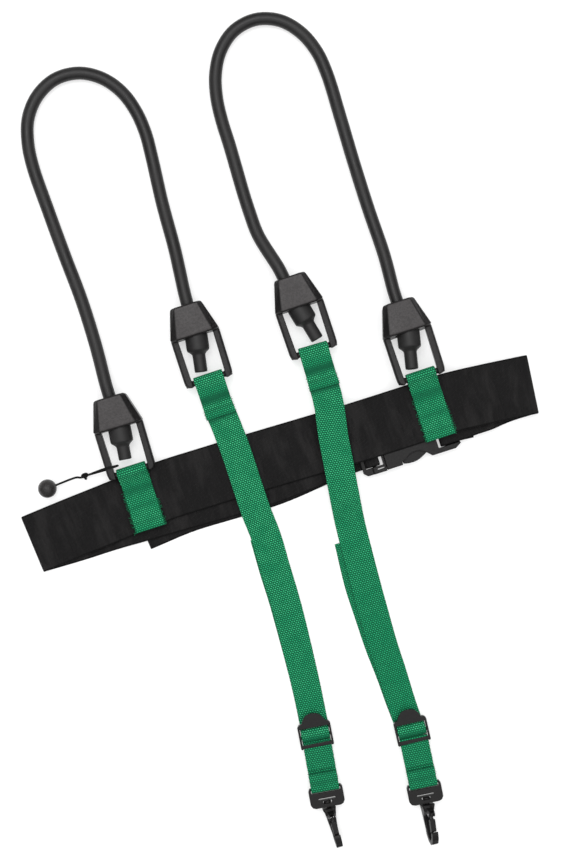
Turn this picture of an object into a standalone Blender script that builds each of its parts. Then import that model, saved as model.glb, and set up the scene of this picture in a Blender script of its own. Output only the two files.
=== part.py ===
# Swim resistance belt, laid flat as it lies on a table.
# Metres, +Z up, +Y from the snap hooks towards the resistance tubes, +X to the right.
# The plan layout is drawn in layout units: one unit is PLAN_SCALE metres, v runs down the sheet.
import math

import bmesh
import bpy
import numpy as np
from mathutils import Matrix, Vector

# ---------------------------------------------------------------- driving dimensions (mm unless said)
PLAN_SCALE = 0.00085          # metres for one layout unit
PLAN_CENTRE = (279.73, 560.27)  # layout point over the model's origin

BELT_W, BELT_T = 50.8, 1.8    # waist webbing
STRAP_W, STRAP_T = 25.4, 1.6  # green webbing
TUBE_R = 5.5                  # resistance tube
GAP = 0.3                     # clearance between touching pieces

BAR_R = 2.6                   # clip bar
LOOP_R = BAR_R + 0.6 + STRAP_T / 2   # middle of the webbing where it turns round a bar
CLIP_TOP, CLIP_WIDE, CLIP_MOUTH = 65.3, 39.5, 37.8   # along the clip, from its bar
HEAD_HALF_T = 12.5            # half the clip head's thickness
HEAD_HALF_TOP, HEAD_HALF_WIDE = 13.9, 21.3
PLATE_HALF_TOP, PLATE_HALF_WIDE = 10.2, 15.8
LEG_HALF_T = 4.5
LEG_IN, LEG_OUT = 14.6, 21.0  # leg's inner and outer half widths at the bar
BULB_R, PLUG_R = 9.8, 6.6

BUCKLE_T = 11.0
SLIDER_W, SLIDER_IN = 28.4, 24.9
BASE_W, BASE_IN = 29.4, 25.2
BALL_R, CORD_R = 7.9, 0.9


# ---------------------------------------------------------------- small helpers
def wipe():
    for obj in list(bpy.data.objects):
        bpy.data.objects.remove(obj, do_unlink=True)


def plan(u, v, z=0.0):
    """Layout point and height in mm to metres."""
    return Vector(((u - PLAN_CENTRE[0]) * PLAN_SCALE, (PLAN_CENTRE[1] - v) * PLAN_SCALE, z * 0.001))


def material(name, colour, rough, metal=0.0):
    mat = bpy.data.materials.new(name)
    mat.use_nodes = True
    bsdf = mat.node_tree.nodes["Principled BSDF"]
    bsdf.inputs["Base Color"].default_value = (*colour, 1.0)
    bsdf.inputs["Roughness"].default_value = rough
    bsdf.inputs["Metallic"].default_value = metal
    mat.diffuse_color = (*colour, 1.0)
    return mat


def smooth_step(x, a, b):
    t = min(max((x - a) / (b - a), 0.0), 1.0)
    return t * t * (3.0 - 2.0 * t)


def profile(x, stops):
    """Height that eases from stop to stop: stops are (x, value)."""
    for (a, va), (b, vb) in zip(stops, stops[1:]):
        if x <= b:
            return va + (vb - va) * smooth_step(x, a, b)
    return stops[-1][1]


def frame_at(origin, tilt_deg, pitch_deg=0.0):
    """Local frame: x across, y along (towards the tubes), z up. tilt leans y towards -X, pitch dips y down."""
    rot = Matrix.Rotation(math.radians(tilt_deg), 4, "Z") @ Matrix.Rotation(math.radians(-pitch_deg), 4, "X")
    return Matrix.Translation(origin) @ rot


def pivot(name, frame):
    """An empty that marks a joint and carries the pieces that turn about it."""
    empty = bpy.data.objects.new(name, None)
    bpy.context.scene.collection.objects.link(empty)
    empty.empty_display_size = 0.02
    empty.matrix_world = frame
    return empty


def to_object(name, bm, frame, mat, parent=None):
    """bmesh in mm, in the frame's own axes, to an object whose origin is the frame's."""
    for v in bm.verts:
        v.co *= 0.001
    bmesh.ops.recalc_face_normals(bm, faces=bm.faces)
    mesh = bpy.data.meshes.new(name)
    bm.to_mesh(mesh)
    bm.free()
    mesh.shade_smooth()
    mesh.set_sharp_from_angle(angle=math.radians(32))
    mesh.materials.append(mat)
    obj = bpy.data.objects.new(name, mesh)
    bpy.context.scene.collection.objects.link(obj)
    if parent is not None:
        obj.parent = parent
        obj.matrix_parent_inverse = parent.matrix_world.inverted()
    obj.matrix_world = frame
    return obj


def loft(bm, rings, closed_ring=True, caps=True):
    """Skin a list of rings with the same number of points each."""
    rows = [[bm.verts.new(p) for p in ring] for ring in rings]
    n = len(rows[0])
    for a, b in zip(rows, rows[1:]):
        for i in range(n if closed_ring else n - 1):
            j = (i + 1) % n
            bm.faces.new((a[i], a[j], b[j], b[i]))
    if caps:
        bm.faces.new(rows[0][::-1])
        bm.faces.new(rows[-1])
    return rows


def lathe(bm, turned, sides, frame=None, start=0.0):
    """Closed body turned about the local y axis from (r, y) points; r = 0 at both ends, or a closed loop."""
    frame = frame or Matrix.Identity(4)
    closed_loop = turned[0] == turned[-1]
    pts = turned[:-1] if closed_loop else turned
    rows = []
    for r, y in pts:
        if r < 1e-9:
            rows.append([bm.verts.new(frame @ Vector((0, y, 0)))])
        else:
            rows.append([
                bm.verts.new(frame @ Vector((r * math.cos(start + 2 * math.pi * k / sides), y,
                                             r * math.sin(start + 2 * math.pi * k / sides))))
                for k in range(sides)
            ])
    pairs = list(zip(rows, rows[1:])) + ([(rows[-1], rows[0])] if closed_loop else [])
    for a, b in pairs:
        for k in range(sides):
            m = (k + 1) % sides
            if len(a) == 1:
                bm.faces.new((a[0], b[m], b[k]))
            elif len(b) == 1:
                bm.faces.new((a[k], a[m], b[0]))
            else:
                bm.faces.new((a[k], a[m], b[m], b[k]))


def prism(bm, outline, z0, z1):
    """Extrude an outline of (x, y) between two heights."""
    loft(bm, [[Vector((x, y, z0)) for x, y in outline], [Vector((x, y, z1)) for x, y in outline]])


def box(bm, lo, hi):
    prism(bm, [(lo[0], lo[1]), (hi[0], lo[1]), (hi[0], hi[1]), (lo[0], hi[1])], lo[2], hi[2])


def cutter(name, bm, frame):
    obj = to_object(name, bm, frame, CUT)
    obj.hide_render = True
    obj.display_type = "WIRE"
    return obj


def cut(target, tool, operation="DIFFERENCE"):
    mod = target.modifiers.new(tool.name, "BOOLEAN")
    mod.operation = operation
    mod.solver = "EXACT"
    mod.object = tool


def spline_through(points, count):
    """Evenly spaced points on a smooth curve through the given ones (centripetal Catmull-Rom)."""
    p = [np.array(q, float) for q in points]
    p = [2 * p[0] - p[1]] + p + [2 * p[-1] - p[-2]]
    fine = []
    for i in range(1, len(p) - 2):
        t = [0.0]
        for a, b in zip(p[i - 1:i + 2], p[i:i + 3]):
            t.append(t[-1] + max(np.linalg.norm(b - a), 1e-9) ** 0.5)
        for s in np.linspace(t[1], t[2], 24, endpoint=False):
            a1 = ((t[1] - s) * p[i - 1] + (s - t[0]) * p[i]) / (t[1] - t[0])
            a2 = ((t[2] - s) * p[i] + (s - t[1]) * p[i + 1]) / (t[2] - t[1])
            a3 = ((t[3] - s) * p[i + 1] + (s - t[2]) * p[i + 2]) / (t[3] - t[2])
            b1 = ((t[2] - s) * a1 + (s - t[0]) * a2) / (t[2] - t[0])
            b2 = ((t[3] - s) * a2 + (s - t[1]) * a3) / (t[3] - t[1])
            fine.append(((t[2] - s) * b1 + (s - t[1]) * b2) / (t[2] - t[1]))
    fine.append(p[-2])
    fine = np.array(fine)
    run = np.concatenate([[0], np.cumsum(np.linalg.norm(np.diff(fine, axis=0), axis=1))])
    at = np.linspace(0, run[-1], count)
    return [Vector([np.interp(s, run, fine[:, k]) for k in range(3)]) for s in at]


def cord_curve(name, points, radius, mat, resolution=3, parent=None):
    """A round cord along world points in metres, with filled ends."""
    data = bpy.data.curves.new(name, "CURVE")
    data.dimensions = "3D"
    data.bevel_depth = radius * 0.001
    data.bevel_resolution = resolution
    data.use_fill_caps = True
    line = data.splines.new("POLY")
    line.points.add(len(points) - 1)
    for point, co in zip(line.points, points):
        point.co = (*co, 1.0)
    data.materials.append(mat)
    obj = bpy.data.objects.new(name, data)
    bpy.context.scene.collection.objects.link(obj)
    if parent is not None:
        obj.parent = parent
        obj.matrix_parent_inverse = parent.matrix_world.inverted()
    return obj


def ribbon(name, stations, thick, frame, mat, parent=None):
    """Flat webbing. A station is (middle, across, up, width): world metres, unit vectors, mm."""
    bm = bmesh.new()
    back = frame.inverted()
    rings = []
    for mid, across, up, width in stations:
        a, u = across * (width * 0.0005), up * (thick * 0.0005)
        rings.append([(back @ (mid + s * a + t * u)) * 1000 for s, t in ((-1, -1), (1, -1), (1, 1), (-1, 1))])
    loft(bm, rings)
    return to_object(name, bm, frame, mat, parent)


def stations_along(points, side, widths):
    """Stations for a ribbon along world points; side is the unit vector across at each point."""
    out = []
    for i, p in enumerate(points):
        before = points[max(i - 1, 0)]
        after = points[min(i + 1, len(points) - 1)]
        tangent = (after - before).normalized()
        across = side[i] - tangent * side[i].dot(tangent)
        across.normalize()
        up = across.cross(tangent).normalized()
        out.append((p, across, up, widths[i]))
    return out


wipe()
CUT = material("cutter", (1.0, 0.2, 0.2), 0.5)
WEB_BLACK = material("belt_webbing", (0.012, 0.012, 0.013), 0.85)
WEB_GREEN = material("green_webbing", (0.012, 0.25, 0.11), 0.8)
PLASTIC = material("clip_plastic", (0.03, 0.028, 0.028), 0.5)
RUBBER = material("tube_rubber", (0.035, 0.034, 0.034), 0.55)
CORD = material("cord_black", (0.01, 0.01, 0.01), 0.8)
STEEL = material("pin_steel", (0.5, 0.5, 0.5), 0.35, 1.0)
Z = Vector((0, 0, 1))
WORLD = Matrix.Identity(4)


# ---------------------------------------------------------------- waist belt
FRONT = [(34, 544), (75, 527), (115.7, 510.7), (160.4, 492), (206, 477.4), (253.4, 463), (302, 448.6), (351, 434),
         (400, 418.5), (448, 403), (493, 392.5), (528.7, 385)]
BACK = [(34, 544), (75, 532.0), (111.3, 520.3), (135.3, 513.5), (184, 499.6), (233.3, 485.7), (276, 472), (319.3, 454.5), (338, 447), (346.4, 444.4)]
TAIL = [(138.8, 522.3), (184, 503.5), (233.3, 488.5), (276, 474.5), (319.3, 455.5), (338, 447.3), (351.2, 442.9), (364.9, 438.4)]
RETURN = [(481.3, 401.7), (496, 395.5), (510, 390.5), (528.7, 385)]
FRONT_Z = [(34, 4.2), (60, 5.2), (328, 5.2), (359, 12.5), (480, 12.5), (516, 8.2), (530, 7.4)]
BACK_Z = [(34, 1.2), (60, 0.9), (98, 0.9), (122, 3.0), (372, 3.0)]
BUCKLE = frame_at(plan(418.5, 421.5, BUCKLE_T / 2), 17.5)   # x along the belt, y across, under the front layer


def belt_run(route, heights, count):
    pts = spline_through([plan(u, v) for u, v in route], count)
    out = []
    for p in pts:
        u = p.x / PLAN_SCALE + PLAN_CENTRE[0]
        out.append(Vector((p.x, p.y, profile(u, heights) * 0.001)))
    return out


def flat_sides(points):
    sides = []
    for i, p in enumerate(points):
        d = points[min(i + 1, len(points) - 1)] - points[max(i - 1, 0)]
        d.z = 0
        sides.append(d.normalized().cross(Z) if d.length > 1e-9 else sides[-1])
    return sides


front = belt_run(FRONT, FRONT_Z, 34)
back = belt_run(BACK, BACK_Z, 20)
ret = belt_run(RETURN, [(481, 6.4), (502, 0.9), (530, 0.9)], 6)


def u_turn(a, b, outward, count=5):
    """Half circle in the vertical plane from point a to point b, bulging along outward."""
    b = Vector((a.x, a.y, b.z))
    mid, r = (a + b) / 2, (a - b) / 2
    return [mid + r * math.cos(math.pi * k / (count + 1)) + outward * r.length * math.sin(math.pi * k / (count + 1))
            for k in range(1, count + 1)]


left_out = (front[0] - front[1]).normalized()
left_out.z = 0
right_out = (front[-1] - front[-2]).normalized()
right_out.z = 0
def on_buckle(pairs):
    return [BUCKLE @ Vector((x * 0.001, (y[0] if y else 0) * 0.001, z * 0.001)) for x, z, *y in pairs]


buckle_side = -(BUCKLE.to_3x3() @ Vector((0, 1, 0)))
sewn = on_buckle([(43, -2.9, -1.8), (31, -2.9, -1.0), (16.8, -2.9, -0.9), (14.0, -2.3, -1.0), (12.6, 0, -1.0), (14.0, 2.3, -1.0), (16.8, 2.9, -0.9), (32, 2.9, -0.6), (45, 2.2, -0.1)])
wrap = on_buckle([(-62.8, -2.5), (-57.8, -2.5), (-55.0, -2.4), (-53.0, -1.2), (-51.0, 1.2), (-49.2, 2.7), (-45.6, 2.8), (-43.7, 2.1), (-42.9, 1.0)])
route = sewn + ret + u_turn(ret[-1], front[-1], right_out) + front[::-1] + u_turn(front[0], back[0], left_out) + back
side = flat_sides(ret) + [right_out.cross(Z).normalized()] * 5 + flat_sides(front)[::-1] + [-left_out.cross(Z).normalized()] * 5 + flat_sides(back)
side = [buckle_side] * len(sewn) + side + [buckle_side] * len(wrap)
route += wrap
ribbon("belt_band", stations_along(route, side, [BELT_W] * len(route)), BELT_T, WORLD, WEB_BLACK)

tail = belt_run(TAIL, [(138, 0.9), (379, 0.9)], 16) + on_buckle([(-45.4, -4.5), (-43.4, -3.7), (-42.7, -2.4), (-42.7, -1.3)])
tail_sides = flat_sides(tail[:-4]) + [buckle_side] * 4
ribbon("belt_adjusting_tail", stations_along(tail, tail_sides, [BELT_W] * len(tail)), BELT_T, WORLD, WEB_BLACK)

# side-release buckle
bm = bmesh.new()
prism(bm, [(-37.2, -31.3), (23.5, -31), (28.8, -27.8), (28.8, 27.8), (23.5, 31), (-37.2, 31.3)], -5.5, 5.5)
female = to_object("buckle_female", bm, BUCKLE, PLASTIC)
bm = bmesh.new()
box(bm, (-45, -28.6, -3.6), (6, 28.6, 3.6))
cut(female, cutter("buckle_cavity", bm, BUCKLE))
side_window = [(-23.5, 34), (-23.5, 28.2), (-20.5, 27.4), (-17, 25.0), (-12, 23.2), (-7, 23.6), (-3.5, 25.6), (-0.8, 27.2), (3.2, 31.6), (3.2, 34)]
for name, s in (("buckle_window_low", -1), ("buckle_window_high", 1)):
    bm = bmesh.new()
    prism(bm, [(x, s * y) for x, y in (side_window if s < 0 else side_window[::-1])], -8, 8)
    cut(female, cutter(name, bm, BUCKLE))
bm = bmesh.new()
box(bm, (9.5, -26.8, -8), (15.5, 26.0, 8))
cut(female, cutter("buckle_female_slot", bm, BUCKLE))
for name, z0, z1 in (("buckle_bar_top", 1.5, 8), ("buckle_bar_bottom", -8, -1.5)):
    bm = bmesh.new()
    box(bm, (14.3, -26.8, z0), (35, 26.0, z1))
    cut(female, cutter(name, bm, BUCKLE))

bm = bmesh.new()
prism(bm, [(-57.8, -28.8), (-54.6, -31.8), (-37.6, -31.8), (-37.6, 31.8), (-54.6, 31.8), (-57.8, 28.8)], -5.5, 5.5)
male = to_object("buckle_male", bm, BUCKLE, PLASTIC)
bm = bmesh.new()
box(bm, (-38.6, -18.2, -3.1), (-31, 18.2, 3.1))
cut(male, cutter("buckle_root", bm, BUCKLE), "UNION")
bm = bmesh.new()
box(bm, (-32, -7, -2.6), (4, 7, 2.6))
cut(male, cutter("buckle_guide", bm, BUCKLE), "UNION")
for name, x0, x1, z0, z1 in (("buckle_male_slot_outer", -54.8, -48.6, -8, 8), ("buckle_male_slot_inner", -45.6, -39.3, -8, 8),
                             ("buckle_male_under", -61.8, -41.8, -8, -1.1), ("buckle_male_over", -49, -41.8, 1.5, 8)):
    bm = bmesh.new()
    box(bm, (x0, -25.9, z0), (x1, 25.9, z1))
    cut(male, cutter(name, bm, BUCKLE))
bm = bmesh.new()
box(bm, (-61.8, -40, 2.5), (-49, 40, 8))
cut(male, cutter("buckle_male_thin_end", bm, BUCKLE))
for name, y0, y1 in (("buckle_slit_low", -28.9, -27.8), ("buckle_slit_high", 27.8, 28.9)):
    bm = bmesh.new()
    box(bm, (-45.4, y0, -8), (-39.0, y1, 8))
    cut(male, cutter(name, bm, BUCKLE))
for name, s in (("buckle_arm_lower", -1), ("buckle_arm_upper", 1)):
    hinge = pivot(name + "_axis", BUCKLE @ Matrix.Translation((-0.035, s * 0.0225, 0)))
    outline = [(-2.0, -2.4), (12, -2.4), (26.5, -1.5), (35.4, -1.0), (35.4, 2.6), (33.6, 4.5), (30.8, 6.1), (28, 7.5), (24, 8.8), (20, 9.2), (16, 8.9), (12.1, 8.0), (12.1, 3.4), (-2.0, 3.0)]
    bm = bmesh.new()
    prism(bm, [(x, s * y) for x, y in (outline if s > 0 else outline[::-1])], -2.7, 2.7)
    to_object(name, bm, hinge.matrix_world.copy(), PLASTIC, hinge)


# ---------------------------------------------------------------- webbing turned round a bar
def loop_section(bar_z, top_z, low_z, end_top, end_low, merge=13.0):
    """(s, z) middle line in mm: s runs from the bar along the strap. Over the bar, back under it."""
    pts = [(end_top, top_z(end_top))]
    n = 4
    for k in range(1, n + 1):
        s = end_top + (merge - end_top) * k / n
        pts.append((s, top_z(s)))
    for deg in (62, 90, 120, 150, 180, 210, 240, 270, 298):
        a = math.radians(deg)
        pts.append((LOOP_R * math.cos(a), bar_z + LOOP_R * math.sin(a)))
    s = merge
    pts.append((s, low_z(s)))
    return pts, end_low


def place_section(pts, bar, tilt_deg):
    rot = Matrix.Rotation(math.radians(tilt_deg), 3, "Z")
    down = rot @ Vector((0, -1, 0))
    return [Vector((bar.x, bar.y, 0)) + down * (s * 0.001) + Z * (z * 0.001) for s, z in pts]


SIDES = {
    "left": dict(belt_bar=(132.3, 470.6), belt_bar_z=12.5, belt_tilt=16.8, belt_pitch=0.0, belt_bulb=-6.0,
                 strap_bar=(209.2, 379.0), strap_tilt=17.6, tube_tilt=14.6, strap_bulb=-6.5,
                 tab_top=9.1, tab_low=7.2, tab_end=(151.0, 528.8)),
    "right": dict(belt_bar=(420.2, 376.0), belt_bar_z=17.8, belt_tilt=17.6, belt_pitch=4.5, belt_bulb=-12.0,
                  strap_bar=(313.7, 350.3), strap_tilt=18.6, tube_tilt=27.0, strap_bulb=4.0,
                  tab_top=16.5, tab_low=14.6, tab_end=(440.6, 437.6)),
}


# ---------------------------------------------------------------- clip: head, legs and bar in one moulding
def head_ring(y, half, plate, half_t):
    e = 8.0 if half_t > 9 else half_t * 0.6
    return [Vector((x, y, z)) for x, z in (
        (-plate, half_t), (plate, half_t), (half, e), (half, -e), (plate, -half_t), (-plate, -half_t), (-half, -e), (-half, e))]


def clip(name, frame, parent, bore_frame):
    bm = bmesh.new()
    loft(bm, [head_ring(CLIP_MOUTH, PLATE_HALF_WIDE + 2.4, PLATE_HALF_WIDE - 0.4, HEAD_HALF_T - 0.9),
              head_ring(CLIP_WIDE, HEAD_HALF_WIDE, PLATE_HALF_WIDE, HEAD_HALF_T),
              head_ring(CLIP_TOP - 2.0, HEAD_HALF_TOP + 0.3, PLATE_HALF_TOP + 0.2, HEAD_HALF_T),
              head_ring(CLIP_TOP - 0.5, HEAD_HALF_TOP - 0.6, PLATE_HALF_TOP - 0.5, HEAD_HALF_T - 0.5),
              head_ring(CLIP_TOP, HEAD_HALF_TOP - 2.0, PLATE_HALF_TOP - 1.6, HEAD_HALF_T - 1.6)])
    body = to_object(name, bm, frame, PLASTIC, parent)
    bm = bmesh.new()
    outer = [(-LEG_OUT + 4.6, -3.2), (-LEG_OUT + 1.9, -2.5), (-LEG_OUT + 0.5, -0.9), (-LEG_OUT, 1.4), (-LEG_OUT - 0.1, 8),
             (-HEAD_HALF_WIDE, CLIP_MOUTH), (-HEAD_HALF_WIDE + 1.2, CLIP_WIDE + 3)]
    inner = [(-15.0, CLIP_WIDE + 3), (-15.4, CLIP_MOUTH - 1), (-LEG_IN - 0.2, 6), (-LEG_IN, 1.5)]
    left = outer + inner + [(-LEG_IN, -3.2)]
    t = LEG_HALF_T
    for sign in (1, -1):
        pts = [(sign * -x, y) for x, y in left] if sign > 0 else left
        leg = bmesh.new()
        rings = []
        for z, inset in ((-t, 1.5), (-t + 1.9, 0.0), (t - 1.9, 0.0), (t, 1.5)):
            rings.append([Vector((x - math.copysign(inset, x) if abs(x) > 16.5 and y < CLIP_WIDE else x, y, z)) for x, y in pts])
        loft(leg, rings)
        cut(body, cutter(f"{name}_leg_{'r' if sign > 0 else 'l'}", leg, frame), "UNION")
    bm.free()
    bar = bmesh.new()
    lathe(bar, [(0, -LEG_OUT + 0.6), (BAR_R, -LEG_OUT + 0.6), (BAR_R, LEG_OUT - 0.6), (0, LEG_OUT - 0.6)], 12,
          Matrix.Rotation(math.radians(-90), 4, "Z"), math.radians(15))
    cut(body, cutter(f"{name}_bar", bar, frame), "UNION")
    bore = bmesh.new()
    lathe(bore, [(0, 20), (11.0, 20), (11.0, 50.5), (6.4, 51.0), (6.4, 80), (0, 80)], 16)
    cut(body, cutter(f"{name}_bore", bore, bore_frame))
    return body


def tube_end(side, where, frame, tilt, tail_y, parent):
    """Swollen end over its plug. The bulb turns about the clip's own y axis through its middle at y = 34."""
    lean = frame @ Matrix.Translation((0, 0.034, 0)) @ Matrix.Rotation(math.radians(tilt), 4, "Z")
    top, low = 15.2, tail_y - 34
    bm = bmesh.new()
    lathe(bm, [(0, low + 0.6), (3.0, low + 0.6), (3.0, low), (TUBE_R - 0.5, low), (TUBE_R, low + 0.6), (TUBE_R, -12.2), (6.6, -10.6), (BULB_R - 0.5, -8.8), (BULB_R, -7.6),
               (BULB_R, 5.5), (8.6, 9.6), (6.3, 13.2), (TUBE_R, top), (0, top)], 16, None)
    bm2 = bm
    shell = to_object(f"{side}_{where}_tube_end", bm2, lean, RUBBER, parent)
    bm = bmesh.new()
    lathe(bm, [(0, low - 5), (3.2, low - 5), (3.2, -11.5), (PLUG_R + 0.3, -8.3), (PLUG_R + 0.3, 6.3), (0, 6.3)], 12)
    cut(shell, cutter(f"{side}_{where}_tube_end_hollow", bm, lean))
    bm = bmesh.new()
    lathe(bm, [(0, -8.2), (PLUG_R - 1.2, -8.0), (PLUG_R, -6.2), (PLUG_R, 4.6), (PLUG_R - 1.6, 6.0), (0, 6.0)], 10)
    to_object(f"{side}_{where}_tube_plug", bm, lean, PLASTIC, parent)


TUBES = {
    "left": [(95.9, 346), (81.3, 300), (64.4, 255.5), (47.9, 210.4), (32.1, 165), (27.4, 141.5), (27.8, 117.5), (37.1, 95.2),
             (54.6, 78.7), (78, 72.5), (101.6, 77.6), (121.4, 91.4), (135.7, 110.8), (145.3, 132.8), (151.4, 156), (162.1, 202.8),
             (174.7, 249.2)],
    "right": [(384.1, 255), (368.8, 209.5), (354.4, 163.8), (340.7, 117.7), (326.6, 71.9), (316.3, 50.1), (300.8, 31.8),
              (279.7, 19.8), (255.6, 18.8), (234.1, 29.9), (220.6, 49.9), (215.4, 73.4), (216.6, 97.4), (221.9, 120.8),
              (229.1, 143.7), (235.8, 166.7), (242.4, 189.8), (249.7, 212.7), (258, 235)],
}


# ---------------------------------------------------------------- long straps, tails, sliders, hooks
STRAPS = {
    "left": dict(route=[(218.2, 406.0), (224.0, 420), (235.5, 450), (245.5, 480), (255.5, 510), (267, 540), (275.7, 570),
                        (284.7, 600), (292.6, 630), (300, 660), (307, 690), (315.4, 731)],
                 over=7.3, cross=(52, 112), floor=138,
                 tail=[(264.6, 537), (274, 570), (283.4, 600), (291.6, 630), (299.4, 660), (306.6, 690), (313.5, 723)],
                 slider=(315.7, 736.0), slider_tilt=11.0, hook_tilt=10.6, base=(326.4, 795.0), hook_roll=85.0, hook_lean=4.4),
    "right": dict(route=[(322.5, 380.3), (328.8, 405), (333, 435), (338.6, 465), (344.2, 495), (350.6, 525), (358.2, 555), (366, 585),
                         (374.3, 615), (383, 645), (393, 675), (402.4, 705), (411.5, 731)],
                  over=13.7, cross=(62, 118), floor=158,
                  tail=[(349.4, 541.5), (359.8, 585), (369.6, 615), (379.4, 645), (390.8, 675), (401.4, 705), (408.6, 723)],
                  slider=(412.2, 732.0), slider_tilt=13.0, hook_tilt=11.4, base=(424.8, 791.5), hook_roll=76.0, hook_lean=-3.2),
}


def strap_width(v):
    return STRAP_W - 1.4 * smooth_step(v, 600, 715)


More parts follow.
